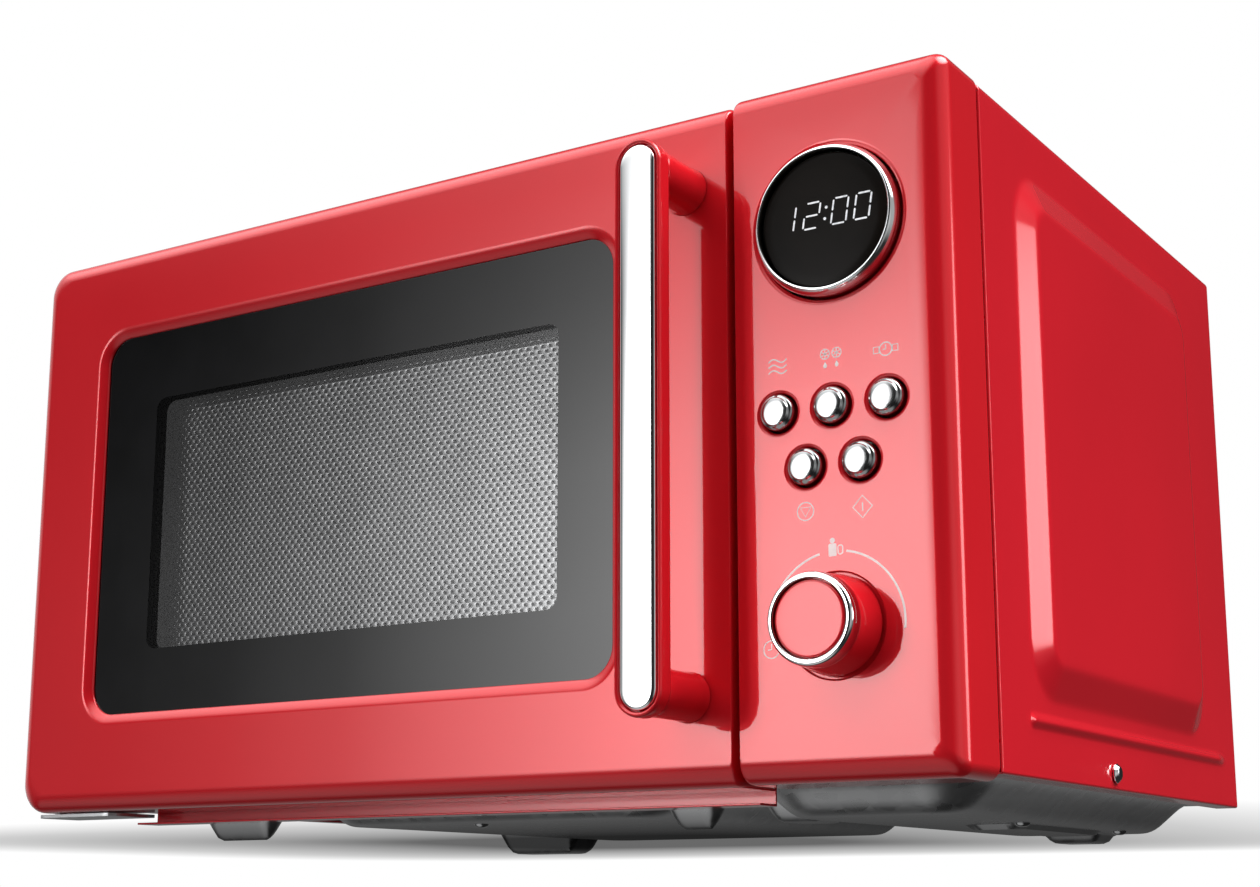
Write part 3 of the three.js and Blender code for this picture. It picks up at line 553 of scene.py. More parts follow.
def circuit_board():
    look = Look("circuit_board", (0.02, 0.14, 0.06), 0.35, Coat_Weight=0.4)
    inputs = {"Vector": look.coords, "Scale": 160.0, "Mortar Size": 0.03}
    brick = look.node("ShaderNodeTexBrick", inputs)
    traces = look.ramp(brick.outputs["Fac"], (0.2, (0.018, 0.12, 0.05)), (0.6, (0.08, 0.28, 0.12)))
    pads = look.node("ShaderNodeTexVoronoi", {"Vector": look.coords, "Scale": 220.0})
    dots = look.ramp(pads.outputs["Distance"], (0.14, 1.0), (0.17, 0.0))
    look.into("Base Color", look.mixed(dots, traces, (0.62, 0.6, 0.52)))
    look.bump(brick.outputs["Fac"], 0.05)
    return look.material


def ink(name, base):
    look = Look(name, base, 0.45, Coat_Weight=1.0, Coat_Roughness=0.05)
    look.vary(0.06, 300.0)
    look.bump(look.noise(1500.0, 2.0), 0.004)
    return look.material


def lit_segments():
    look = Look("lit_segments", (0.8, 0.82, 0.84), 0.4, Emission_Strength=0.3)
    glow = look.ramp(look.noise(700.0, 2.0), (0.3, (0.62, 0.64, 0.67)), (0.7, (0.95, 0.97, 1.0)))
    look.into("Emission Color", glow)
    look.into("Base Color", glow)
    return look.material


def screen_paint():
    look = Look("perforated_screen", (0.13, 0.131, 0.133), 0.12, 0.95)
    look.vary(0.08, 60.0)
    look.smudge(0.06, 90.0)
    look.bump(look.noise(900.0, 2.0), 0.01)
    return look.material


BLACK_GLASS = black_glass()
DISPLAY_GLASS = display_glass()
WINDOW_GLASS = window_glass()
CLEAR_GLASS = clear_glass()
ENAMEL = enamel()
COPPER = copper_winding()
BOARD = circuit_board()
INK = ink("grey_print", (0.74, 0.66, 0.65))
LIT = lit_segments()
SCREEN = screen_paint()
MICA = ink("mica_sheet", (0.55, 0.5, 0.4))


# Camera ------------------------------------------------------

EYE = Vector((0.47053, -0.71841, -0.0274))
YAW = math.radians(32.682)
PITCH = math.radians(11.156)

camera = bpy.data.objects.new("camera", bpy.data.cameras.new("camera"))
SCENE.collection.objects.link(camera)
camera.location = EYE
aim = Vector((-math.sin(YAW) * math.cos(PITCH), math.cos(YAW) * math.cos(PITCH), math.sin(PITCH)))
camera.rotation_mode = "QUATERNION"
camera.rotation_quaternion = aim.to_track_quat("-Z", "Y")
camera.data.sensor_width = 36.0
camera.data.lens = 56.3
camera.data.shift_y = 0.06
camera.data.clip_start = 0.01
camera.data.clip_end = 50.0
SCENE.camera = camera


# Front shells ------------------------------------------------

def edge_levels():
    """(Y, inset) pairs round the front edge, from the side to the flat front."""
    angles = [step / 10 * math.pi / 2 for step in range(11)]
    return [(FACE_Y + EDGE * (1 - math.sin(angle)), EDGE * (1 - math.cos(angle))) for angle in angles]


def shell_outline(low, high, radii, shares, inset, left_extra=0.0):
    """Outline of a shell drawn in by an inset; shares are left, right, bottom and top."""
    left, right, bottom, top = (share * inset for share in shares)
    drawn = [max(r - inset * 0.2, 0.8) for r in radii]
    return rounded(low[0] + left + left_extra, high[0] - right, low[2] + bottom, high[2] - top, drawn, 10)


def dish(centre, levels, steps=64):
    """Loops of a round recess, from (radius, depth) pairs."""
    return [on_y(circle(*centre, radius, steps), FACE_Y + depth) for radius, depth in levels]


def arc_levels(radius, wide, deep):
    """(Radius, depth) pairs of a rounded recess edge that ends as a straight hole."""
    angles = [step / 6 * math.pi / 2 for step in range(7)]
    return [(radius + wide * (1 - math.sin(angle)), deep * (1 - math.cos(angle))) for angle in angles]


BUTTON_NAMES = ["power", "defrost", "clock", "stop", "start"]


def button_places():
    places = {}
    for name in BUTTON_NAMES:
        low, high = corners(f"button_{name}")
        places[name] = ((low[0] + high[0]) / 2, (low[2] + high[2]) / 2)
    return places


BUTTONS = button_places()


# The panel's back edge turns in a little: (inset, distance forward of the back)
TURNED_BACK = [(0.9, 0.0), (0.5, 0.15), (0.15, 0.5), (0.0, 0.9)]


def control_panel():
    shape = Shape()
    radii, shares = [5, 2, 2, 5], [0.09, 1, 1, 1]

    def outline(inset):
        return shell_outline(PANEL_LOW, PANEL_HIGH, radii, shares, inset)

    loops = [on_y(outline(inset), BACK_Y - drop) for inset, drop in TURNED_BACK]
    loops += [on_y(outline(inset), y) for y, inset in edge_levels()]
    shape.loft(loops)
    holes = []
    for centre in BUTTONS.values():
        holes.append(dish(centre, arc_levels(7.0, 1.5, 1.5) + [(7.0, 4.4)]))
    display = (CONTROLS_X, DISPLAY_Z)
    holes.append(dish(display, arc_levels(27.7, 2.2, 1.6) + [(27.7, 5.2)], 96))
    well = [(18.6, 0), (18.35, 0.12), (18.2, 0.4), (18.0, 0.85), (17.6, 0.95), (4.2, 0.95), (4.2, 3)]
    holes.append(dish((CONTROLS_X, KNOB_Z), well, 96))
    for loops in holes:
        shape.loft(loops)
    shape.flat(outline(EDGE), [[(x, z) for x, _, z in loops[0]] for loops in holes], FACE_Y)
    return make("panel_shell", shape, "root", [RED_PLASTIC], ["control_panel"], WALL)


def opening(grow):
    """Window opening, grown outwards by a distance."""
    (left, _, bottom), (right, _, top) = PANE_LOW, PANE_HIGH
    reach = grow - LAP
    return rounded(left - reach, right + reach, bottom - reach, top + reach, 12 + grow, 10)


HINGE_X, HINGE_Y = -211.5, -118.0


def hinge_inset(y):
    """How far the door's back left edge is drawn in, so that it turns about the hinge."""
    swing = BACK_Y - HINGE_Y + 0.1
    return HINGE_X + SIDE_X - math.sqrt(swing ** 2 - (y - HINGE_Y) ** 2)


def door_frame():
    shape = Shape()
    radii, shares = [2, 11, 11, 2], [1, 0.1, 1, 1]

    def outline(inset, extra=0.0):
        return shell_outline(DOOR_LOW, DOOR_HIGH, radii, shares, inset, extra)

    loops = [on_y(outline(0, hinge_inset(y)), y) for y in between(BACK_Y, -108.0, 1.0)]
    loops.append(on_y(outline(0), -112.0))
    loops += [on_y(outline(inset), y) for y, inset in edge_levels()]
    shape.loft(loops)
    rim = [(4.8, 0), (3.9, 0.12), (3.0, 0.4), (2.0, 0.85), (1.1, 1.35), (0.45, 1.8), (0.1, 2.15), (0, 2.6),
           (0, 2.9)]
    sides = [on_y(opening(grow), FACE_Y + depth) for grow, depth in rim]
    shape.loft(sides)
    shape.flat(outline(EDGE), [opening(rim[0][0])], FACE_Y)
    slot = Shape().slab(rounded(-SIDE_X - 1, -204, -128.4, BACK_Y + 1, 0.5, 2), 252.2, 255.0, "z")
    slot_low = Shape().slab(circle(HINGE_X, HINGE_Y, 2.8, 24), DOOR_LOW[2] - 1, DOOR_LOW[2] + 4, "z")
    return make("door_shell", shape, "door", [RED_PLASTIC], ["door_frame"], WALL,
                [slot, slot_low])


def window():
    """Glass pane: a black printed border round the see-through field."""
    shape = Shape()
    front, back = PANE_LOW[1], PANE_HIGH[1]
    pane = rounded(PANE_LOW[0], PANE_HIGH[0], PANE_LOW[2], PANE_HIGH[2], 10, 8)
    field = rounded(*CLEAR_PANE, 5, 8)
    for y in (front, back):
        shape.flat(pane, [field], y)
        shape.flat(field, [], y, look=1)
    shape.loft([on_y(pane, front), on_y(pane, back)])
    return make("window_pane", shape, "door", [BLACK_GLASS, WINDOW_GLASS], ["door_window"])


SCREEN_Y = -121.0
PITCH_X, PITCH_Z = 3.5, 2.0
HOLES_WIDE, HOLES_HIGH = 228, 118


def perforated_screen():
    """Steel pan with a field of staggered round holes."""
    shape = Shape()
    columns = round(HOLES_WIDE / PITCH_X)
    rows = round(HOLES_HIGH / PITCH_Z)
    left, right, bottom, top = CLEAR_PANE
    x0 = (left + right) / 2 - columns * PITCH_X / 2
    z0 = (bottom + top) / 2 - rows * PITCH_Z / 2
    for row in range(rows):
        shift = PITCH_X / 2 * (row % 2)
        for column in range(columns):
            hole_cell(shape, x0 + shift + (column + 0.5) * PITCH_X, z0 + (row + 0.5) * PITCH_Z)
    x1 = x0 + columns * PITCH_X + PITCH_X / 2
    z1 = z0 + rows * PITCH_Z
    pan = rounded(SCREEN_LOW[0], SCREEN_HIGH[0], SCREEN_LOW[2], SCREEN_HIGH[2], 6)
    shape.flat(pan, [[(x0, z1), (x0, z0), (x1, z0), (x1, z1)]], SCREEN_Y)
    shape.loft([on_y(pan, SCREEN_Y), on_y(pan, SCREEN_HIGH[1])])
    return make("door_mesh_pan", shape, "door", [SCREEN], ["door_screen"])


def hole_cell(shape, x, z):
    """One cell of the screen: a hole with a rounded, dished edge."""
    half_x, half_z = PITCH_X / 2, PITCH_Z / 2
    turn = math.pi / 4
    frame_points = [(half_x, 0), (half_x, half_z), (0, half_z), (-half_x, half_z), (-half_x, 0),
                    (-half_x, -half_z), (0, -half_z), (half_x, -half_z)]
    loops = [[(x + u, SCREEN_Y, z + v) for u, v in frame_points]]
    for radius, depth in [(0.8, 0.0), (0.55, 0.14), (0.42, 0.6)]:
        ring = [(x + radius * math.cos(i * turn), z + radius * math.sin(i * turn)) for i in range(8)]
        loops.append(on_y(ring, SCREEN_Y + depth))
    shape.loft(loops)


def handle():
    left, right = HANDLE_LOW[0], HANDLE_HIGH[0]
    bottom, top = HANDLE_LOW[2], HANDLE_HIGH[2]
    radius = (right - left) / 2
    middle = (left + right) / 2
    front, back = HANDLE_LOW[1] - 0.4, -160.0

    def race(inset, y):
        points = rounded(left + inset, right - inset, bottom + inset, top - inset,
                         radius - inset - 0.001, 14)
        return on_y(points, y)

    shape = Shape()
    bar = from_level(back, [(4.0, -0.02), (1.6, -0.15), (0.7, -0.6), (0.2, -1.3), (0, -2.2)])
    bar += from_level(front, [(0, 1.5), (0.15, 0.75), (0.5, 0.35), (0.95, 0.25), (1.5, 0.5), (1.9, 1.1),
                              (1.95, 2.5)])
    shape.loft([race(inset, y) for inset, y in bar], (True, True))
    post = from_level(back, [(0, -1.0), (7.2, -1.0), (8.1, -0.02), (8.5, 1.4), (8.6, 4)])
    post += from_level(FACE_Y, [(8.6, -3.2), (8.9, -1.6), (9.0, -0.35), (7.6, -0.35), (0, -0.35)])
    for z in (bottom + radius, top - radius):
        shape.lathe(post, (middle, z), steps=48)
    make("handle_body", shape, "door", [RED_PLASTIC], ["handle_bar"])

    insert = Shape()
    high = TRIM_LOW[1]
    half = radius - 2.3
    dome = [(2.15, high + 2.1)]
    for share in (1.0, 0.985, 0.96, 0.93, 0.89, 0.84, 0.76, 0.66, 0.54, 0.4, 0.24, 0.1):
        edge = max(0.0, (share - 0.84) / 0.16)
        dome.append((2.3 + half * (1 - share), high + 0.3 * share ** 3 + 0.75 * edge ** 3))
    insert.loft([race(inset, y) for inset, y in dome], (True, True))
    make("handle_insert", insert, "door", [CHROME], ["handle_trim"])


def latch_coil():
    """Coil spring above the latch hook, short enough for the hook's lift."""
    low, high = SPRING_LOW, SPRING_HIGH
    wire, turns, steps = 0.42, 4, 96
    x, y = (low[0] + high[0]) / 2, (low[1] + high[1]) / 2
    radius = (high[0] - low[0]) / 2 - wire
    bottom, top = low[2] + 2.7 + wire, high[2] - wire
    loops = []
    for step in range(steps + 1):
        share = step / steps
        angle = share * turns * 2 * math.pi
        loop = []
        for i in range(8):
            out = radius + wire * math.cos(i * math.pi / 4)
            level = bottom + share * (top - bottom) + wire * math.sin(i * math.pi / 4)
            loop.append((x + out * math.cos(angle), y + out * math.sin(angle), level))
        loops.append(loop)
    shape = Shape().loft(loops, (True, True))
    make("latch_coil", shape, "door", [SPRING], ["latch_spring"])


def buttons():
    for name, centre in BUTTONS.items():
        low, _ = corners(f"button_{name}")
        cap = from_level(low[1], [
            (0, 0), (2.0, 0.01), (3.4, 0.04), (4.3, 0.1), (4.75, 0.2), (4.95, 0.42), (5.08, 0.75),
            (5.3, 0.98), (5.7, 1.2), (6.1, 1.55), (6.34, 2.1), (6.4, 2.8), (6.4, 7.6), (2.5, 7.6), (2.5, 18.8),
            (0, 18.8),
        ])
        shape = Shape().lathe(cap, centre, steps=56)
        make(f"cap_{name}", shape, name, [SATIN], [f"button_{name}"])


def knob():
    centre = (CONTROLS_X, KNOB_Z)
    body = from_level(BEZEL_LOW[1], [
        (0, 3.9), (12.8, 3.9), (12.8, 6.4), (15.5, 6.4), (15.75, 6.6), (15.95, 7.4), (16.3, 11), (16.75, 15),
        (17.05, 18),
    ])
    rear = [(17.15, -11.7), (17.1, -11.15), (16.6, -11), (3.2, -11), (3.2, 0), (0, 0)]
    body += from_level(KNOB_HIGH[1], rear)
    ring = from_level(BEZEL_LOW[1], [
        (13.4, 6.1), (15.6, 6.1), (15.8, 5.7), (15.8, 2.9), (15.72, 1.9), (15.6, 1.1), (15.35, 0.5),
        (15.05, 0.16), (14.6, 0), (13.75, 0.05), (13.5, 0.16), (13.4, 0.4),
    ])
    face = from_level(CAP_LOW[1], [
        (0, 0), (6, 0.004), (10, 0.012), (12, 0.03), (12.5, 0.1), (12.75, 0.3), (12.8, 0.7), (12.8, 2.8),
        (0, 2.8),
    ])
    for name, profile, slot, look, node in [
        ("knob_grip", body, "red_plastic", RED_PLASTIC, "knob_body"),
        ("knob_bezel", ring, "chrome", CHROME, "knob_ring"),
        ("knob_face", face, "red_plastic", RED_PLASTIC, "knob_cap"),
    ]:
        shape = Shape().lathe(profile, centre, steps=96, cyclic=name == "knob_bezel")
        make(name, shape, "knob", [look], [node])


def display():
    centre = (CONTROLS_X, DISPLAY_Z)
    ring = from_level(RING_LOW[1], [
        (27.2, 10.9), (27.2, 3.2), (27.12, 2.7), (26.75, 1.7), (26.3, 0.8), (26.0, 0.3), (25.6, 0.03),
        (25.3, 0), (25.0, 0.14), (24.85, 0.45), (24.8, 1.3), (24.8, 10.9),
    ])
    shape = Shape().lathe(ring, centre, steps=120, cyclic=True)
    make("display_bezel", shape, "root", [CHROME], ["display_ring"])
    lens = from_level(LENS_LOW[1], [(0, 0), (12, 0.05), (20, 0.16), (23.4, 0.3), (24.1, 0.55), (24.3, 1.0)])
    lens += [(24.3, LENS_HIGH[1]), (0, LENS_HIGH[1])]
    shape = Shape().lathe(lens, centre, steps=96)
    make("display_window", shape, "root", [DISPLAY_GLASS], ["display_lens"])
    digits(LENS_LOW[1])


SEGMENTS = {"1": "bc", "2": "abged", "0": "abcdef"}
DIGIT = {"width": 5.7, "height": 9.2, "stroke": 0.62, "lean": 0.16}


def digits(front):
    """The clock's reading as lit bars on the display."""
    width, height = DIGIT["width"], DIGIT["height"]
    ends = {
        "a": ((0, 1), (1, 1)), "b": ((1, 1), (1, 0.5)), "c": ((1, 0.5), (1, 0)), "d": ((0, 0), (1, 0)),
        "e": ((0, 0.5), (0, 0)), "f": ((0, 1), (0, 0.5)), "g": ((0, 0.5), (1, 0.5)),
    }
    shape = Shape()
    base_z = DISPLAY_Z - 2.6
    for glyph, offset in [("1", -17.8), ("2", -8.3), ("0", 2.5), ("0", 11.2)]:
        for name in SEGMENTS[glyph]:
            points = []
            for u, v in ends[name]:
                z = v * height
                points.append((CONTROLS_X + offset + u * width + z * DIGIT["lean"], base_z + z))
            bar(shape, points, DIGIT["stroke"], front, 0.72)
    for v in (0.28, 0.72):
        z = v * height
        dot = circle(CONTROLS_X - 0.1 + z * DIGIT["lean"], base_z + z, 0.55, 16)
        shape.slab(dot, front - 0.05, front + 0.3)
    make("clock_digits", shape, "root", [LIT])


def bar(shape, points, stroke, level, keep):
    """One lit segment: a bar with pointed ends, shortened about its middle."""
    start, end = (Vector(p) for p in points)
    middle = (start + end) / 2
    start = middle + (start - middle) * keep
    end = middle + (end - middle) * keep
    along = (end - start).normalized()
    across = Vector((-along.y, along.x)) * stroke / 2
    tip = along * stroke / 2
    outline = [start - tip, start + across, end + across, end + tip, end - across, start - across]
    shape.slab([tuple(p) for p in outline], level - 0.05, level + 0.3)


# Printed symbols ---------------------------------------------

PRINT_FRONT, PRINT_BACK = FACE_Y - 0.03, FACE_Y + 0.05


def stroke(shape, points, width, closed=False):
    """Flat printed line through points, as a thin raised ribbon."""
    count = len(points)
    left, right = [], []
    for i in range(count):
        before = Vector(points[i - 1]) if (i or closed) else Vector(points[0])
        after = Vector(points[(i + 1) % count]) if (i + 1 < count or closed) else Vector(points[-1])
        along = (after - before).normalized()
        across = Vector((-along.y, along.x)) * width / 2
        left.append(tuple(Vector(points[i]) + across))
        right.append(tuple(Vector(points[i]) - across))
    ends = [(left, PRINT_FRONT), (right, PRINT_FRONT), (right, PRINT_BACK), (left, PRINT_BACK)]
    loops = [on_y(side, y) for side, y in ends]
    columns = [list(column) for column in zip(*loops)]
    if closed:
        columns.append(columns[0])
    shape.loft(columns, (not closed, not closed))


def arc(centre, radius, start, end, steps=24):
    angles = between(math.radians(start), math.radians(end), math.radians(end - start) / steps)
    return [(centre[0] + radius * math.cos(a), centre[1] + radius * math.sin(a)) for a in angles]


def wavy_lines(shape, x, z):
    for row in (-2.0, 0.0, 2.0):
        points = [(x - 3.6 + 7.2 * t, z + row + 0.85 * math.sin(t * 2 * math.pi) + 0.6 * (t - 0.5))
                  for t in between(0, 1, 1 / 20)]
        stroke(shape, points, 0.5)


def frost_and_drops(shape, x, z):
    for side in (-1, 1):
        centre = (x + side * 2.2, z + 1.6)
        stroke(shape, arc(centre, 1.75, 0, 345, 20), 0.35, closed=True)
        for i in range(3):
            angle = math.radians(60 * i + 90)
            reach = Vector((math.cos(angle), math.sin(angle))) * 1.6
            stroke(shape, [tuple(Vector(centre) - reach), tuple(Vector(centre) + reach)], 0.32)
        drop = [(centre[0], z - 1.1), (centre[0] - 0.75, z - 2.5), (centre[0] - 0.5, z - 3.2),
                (centre[0], z - 3.4), (centre[0] + 0.5, z - 3.2), (centre[0] + 0.75, z - 2.5)]
        shape.slab(drop, PRINT_FRONT, PRINT_BACK)


def clock_hands(shape, centre, radius, width):
    stroke(shape, arc(centre, radius, 0, 350, 30), width, closed=True)
    x, z = centre
    stroke(shape, [(x, z + radius * 0.66), (x, z), (x - radius * 0.5, z - radius * 0.05)], width)


def clock_and_timer(shape, x, z):
    clock_hands(shape, (x, z), 2.3, 0.42)
    for side in (-1, 1):
        square = [(x + side * 2.5, z - 1.1), (x + side * 4.5, z - 1.1), (x + side * 4.5, z + 1.1),
                  (x + side * 2.5, z + 1.1)]
        stroke(shape, square, 0.38, closed=True)


def stop_symbol(shape, x, z):
    stroke(shape, arc((x, z), 3.1, 0, 350, 32), 0.42, closed=True)
    stroke(shape, [(x - 1.9, z + 1.35), (x + 1.9, z + 1.35), (x, z - 1.9)], 0.42, closed=True)


def start_symbol(shape, x, z):
    stroke(shape, [(x - 3.6, z), (x, z + 3.8), (x + 3.6, z), (x, z - 3.8)], 0.42, closed=True)
    stroke(shape, [(x, z + 1.5), (x, z - 1.5)], 0.45)


def weight_symbol(shape, x, z):
    shape.slab(circle(x - 0.8, z + 2.4, 0.95, 20), PRINT_FRONT, PRINT_BACK)
    body = rounded(x - 2.3, x + 0.7, z - 3, z + 1.4, 0.6, 4)
    shape.slab(body, PRINT_FRONT, PRINT_BACK)
    stroke(shape, rounded(x + 1.3, x + 3.0, z - 2.4, z + 0.6, 0.7, 4), 0.42, closed=True)


def printed_symbols():
    shape = Shape()
    for name, symbol, aside, above in [
        ("power", wavy_lines, 0, 16.7), ("defrost", frost_and_drops, 0, 16.7),
        ("clock", clock_and_timer, 0, 16.7), ("stop", stop_symbol, -0.4, -15.4),
        ("start", start_symbol, 0.4, -16),
    ]:
        x, z = BUTTONS[name]
        symbol(shape, x + aside, z + above)
    weight_symbol(shape, CONTROLS_X, KNOB_Z + 26.4)
    knob_centre = (CONTROLS_X, KNOB_Z)
    stroke(shape, arc(knob_centre, 25.2, 80, -6, 40), 0.75)
    stroke(shape, arc(knob_centre, 25.2, 103, 168, 36), 0.75)
    clock_hands(shape, (CONTROLS_X - 24.5, KNOB_Z - 6.4), 3.0, 0.42)
    make("panel_print", shape, "root", [INK])


# Casing ------------------------------------------------------

FIELD = (-74.0, 124.0, 43.5, 237.0)     # pressed field of a side: front, back, bottom, top
FIELD_CORNER, FIELD_SLOPE = 22.0, 12.5
EMBOSS = COVER_HIGH[0] - SIDE_X
BEAD = {"front": -76.0, "back": 147.0, "z": 35.8, "half": 2.4, "height": 1.4}


def side_relief(y, z):
    """How far the casing's side stands out of its flat at (y, z)."""
    relief = EMBOSS * ease(inside_rounded(y, z, *FIELD, FIELD_CORNER) / FIELD_SLOPE, 0.13)
    reach = max(BEAD["front"] + 2 - y, y - BEAD["back"] + 2, 0)
    off = math.hypot(reach, z - BEAD["z"]) / BEAD["half"]
    return relief + BEAD["height"] * ease(1.15 - off, 0.25)


def cover_profile():
    """(X, Z, outward X, outward Z) round the casing's open section, from flange to flange."""
    low, top = COVER_LOW[2], COVER_HIGH[2]
    heights = chained(
        between(low + 1, 32.4, 3.2), between(32.4, 39.4, 0.7), between(39.4, 42.5, 1.5),
        between(42.5, 68, 1.0), between(68, 212, 8), between(212, 238, 1.0), between(238, top - 3, 4.0),
    )
    half = [(x, low, 0, -1) for x in between(-SIDE_X + 1, -SIDE_X + 9.2, 4)][::-1]
    for step in range(1, 5):
        angle = math.pi + math.pi / 2 * (1 - step / 5)
        nx, nz = math.cos(angle), math.sin(angle)
        half.append((-SIDE_X + 1 + nx, low + 1 + nz, nx, nz))
    half += [(-SIDE_X, z, -1, 0) for z in heights]
    for step in range(1, 8):
        angle = math.pi - math.pi / 2 * step / 8
        nx, nz = math.cos(angle), math.sin(angle)
        half.append((-SIDE_X + 3 + 3 * nx, top - 3 + 3 * nz, nx, nz))
    across = [(x, top, 0, 1) for x in between(-SIDE_X + 3, SIDE_X - 3, 20)]
    return half + across + [(-x, z, -a, b) for x, z, a, b in half[::-1]]


def outer_cover():
    front, rear = COVER_LOW[1], COVER_HIGH[1]
    near, far = FIELD[0], FIELD[1]
    runs = chained(
        between(front + 1.9, near - 3, 4.0), between(near - 3, near + 27, 1.0),
        between(near + 27, far - 27, 8.0), between(far - 27, far + 2, 1.0),
        between(far + 2, rear - 0.4, 4.0),
    )
    turned = [(0.0, 0.8), (0.06, 0.5), (0.23, 0.23), (0.5, 0.06)]
    section = [(front + 1.1 + y, inset) for y, inset in turned] + [(y, 0.0) for y in runs]
    lip = rear - 1.5
    section += [(rear - 0.1, 0.12), (rear, SHEET / 2), (rear - 0.1, SHEET - 0.12), (rear - 0.5, SHEET),
                (lip, SHEET), (lip, 12.0), (lip - SHEET, 12.0), (lip - SHEET, SHEET)]
    section += [(y, SHEET) for y in reversed(runs) if y < lip - 1.0]
    section.append((front + 1.2, SHEET))
    profile = cover_profile()
    loops = []
    for y, inset in section:
        loop = []
        for x, z, nx, nz in profile:
            relief = side_relief(y, z) * nx if abs(nx) == 1 else 0.0
            if inset > SHEET:
                limit_x, limit_z = SIDE_X - inset, COVER_HIGH[2] - inset
                loop.append((max(-limit_x, min(limit_x, x)), y, min(limit_z, max(z, COVER_LOW[2] + SHEET))))
            else:
                loop.append((x - nx * inset + relief, y, z - nz * inset))
        loops.append(loop)
    shape = Shape()
    shape.loft(loops, closed=False, cyclic=True)
    ends = [[i * len(profile) for i in range(len(loops))],
            [(i + 1) * len(profile) - 1 for i in range(len(loops))]]
    shape.faces.extend([tuple(end) for end in ends])
    shape.looks.extend([0, 0])
    make("casing_cover", shape, "root", [RED_PAINT], ["outer_cover"], sharp=50.0)


PANS = [
    ((-147, -112, -93, -84), 0.0, 6.0), ((86, 106, -93, -84), 0.0, 6.0), ((-148, -104, 122, 148), 0.0, 6.0),
    ((150, 178, 112, 138), 0.0, 6.0), ((-92, 74, -84, 142), 6.0, 8.0), ((124, 200, -88, 146), 4.2, 9.0),
    ((98, 122, -40, -12), 5.0, 5.0), ((160, 186, 4, 96), 2.2, 2.5),
]
BASE_SCREWS = [(187, 0), (189, 104), (110, -52), (-126, 20), (-20, -66)]
FLOOR_Z = 17.0
SLOPE = 1.6                     # length of a pressing's slope, in runs


def base_level(x, y):
    """Height of the stamped base's underside."""
    drop = 0.0
    for (x0, x1, y0, y1), bottom, run in PANS:
        radius = 10.0 if run < 7 else 26.0
        depth = inside_rounded(x, y, x0 - run, x1 + run, y0 - run, y1 + run, radius)
        drop = max(drop, (FLOOR_Z - bottom) * ease(depth / (run * SLOPE), 0.3))
    return FLOOR_Z - drop


def base_plate():
    shape = Shape()
    edge = BASE_HIGH[0]
    xs = between(-edge, edge, 1.9)
    ys = between(BASE_LOW[1], BASE_HIGH[1], 1.9)
    loops = [[(x, y, base_level(x, y)) for x in xs] for y in ys]
    shape.loft(loops, closed=False)
    for side in (0, -1):
        wall = [[(xs[side], y, z) for y in ys] for z in (FLOOR_Z, BASE_HIGH[2])]
        shape.loft(wall, closed=False)
    obj = make("base_pan", shape, "root", [DARK_BASE], ["base_plate"])
    if obj.data.polygons[len(obj.data.polygons) // 2].normal.z > 0:
        obj.data.flip_normals()
    solid = obj.modifiers.new("sheet", "SOLIDIFY")
    solid.thickness = SHEET * MM
    solid.offset = -1
    heads = Shape()
    for x, y in BASE_SCREWS:
        level = base_level(x, y)
        head = [(0, -1.5), (1.2, -1.45), (2.2, -1.15), (2.9, -0.5), (3.1, 0.2), (0, 0.2)]
        heads.lathe(from_level(level, head), (x, y), "z", 24)
    make("base_screws", heads, "root", [CHROME])


def rear_plate():
    """Back sheet with two fields of round-ended vent slots."""
    shape = Shape()
    edge = REAR_HIGH[0]
    y = REAR_HIGH[1]
    outline = rounded(-edge, edge, REAR_LOW[2], REAR_HIGH[2], 2, 4)
    holes = [circle((GROMMET_LOW[0] + GROMMET_HIGH[0]) / 2, (GROMMET_LOW[2] + GROMMET_HIGH[2]) / 2, 8.9, 40)]
    for x, z, rows in [(128, 116, 6), (-188, 186, 3)]:
        for row in range(rows):
            for left in (x, x + 42):
                low = z + row * 14
                holes.append(rounded(left, left + 36, low, low + 4.5, 2.2, 5))
    shape.flat(outline, holes[:1] + [grown(hole, 0.9) for hole in holes[1:]], y)
    for hole in holes[1:]:
        shape.loft([on_y(grown(hole, 0.9), y), on_y(grown(hole, 0.35), y - 0.15), on_y(hole, y - 0.6)])
    make("back_panel", shape, "root", [GALVANISED], ["rear_plate"], 0.7)


# Inside the oven ---------------------------------------------

TURN_X = (TRAY_LOW[0] + TRAY_HIGH[0]) / 2
TURN_Y = (TRAY_LOW[1] + TRAY_HIGH[1]) / 2


def tray():
    low = 48.7
    radius = (TRAY_HIGH[0] - TRAY_LOW[0]) / 2
    profile = from_level(low, [
        (0, 0), (104, 0), (110, 0.7), (115, 2.4), (118.6, 5), (radius - 1, 8.6), (radius, 10),
        (radius - 0.4, 10.8), (radius - 1.6, 11), (radius - 2.6, 10.4), (116, 8.4), (112.5, 6.2), (108, 4.9),
        (103, 4.6), (62, 4.6), (61, 4.3), (60, 4.6), (0, 4.6),
    ])
    lug = from_level(low, [(0, -3.4), (2.6, -3.4), (3.6, -2.6), (4, 0.02), (0, 0.02)])
    shape = Shape().lathe(profile, (TURN_X, TURN_Y), "z", 128)
    for i in range(3):
        angle = (i + 0.5) * 2 * math.pi / 3
        centre = (TURN_X + 11.5 * math.cos(angle), TURN_Y + 11.5 * math.sin(angle))
        shape.lathe(lug, centre, "z", 24)
    make("tray_glass", shape, "tray", [CLEAR_GLASS], ["glass_tray"])


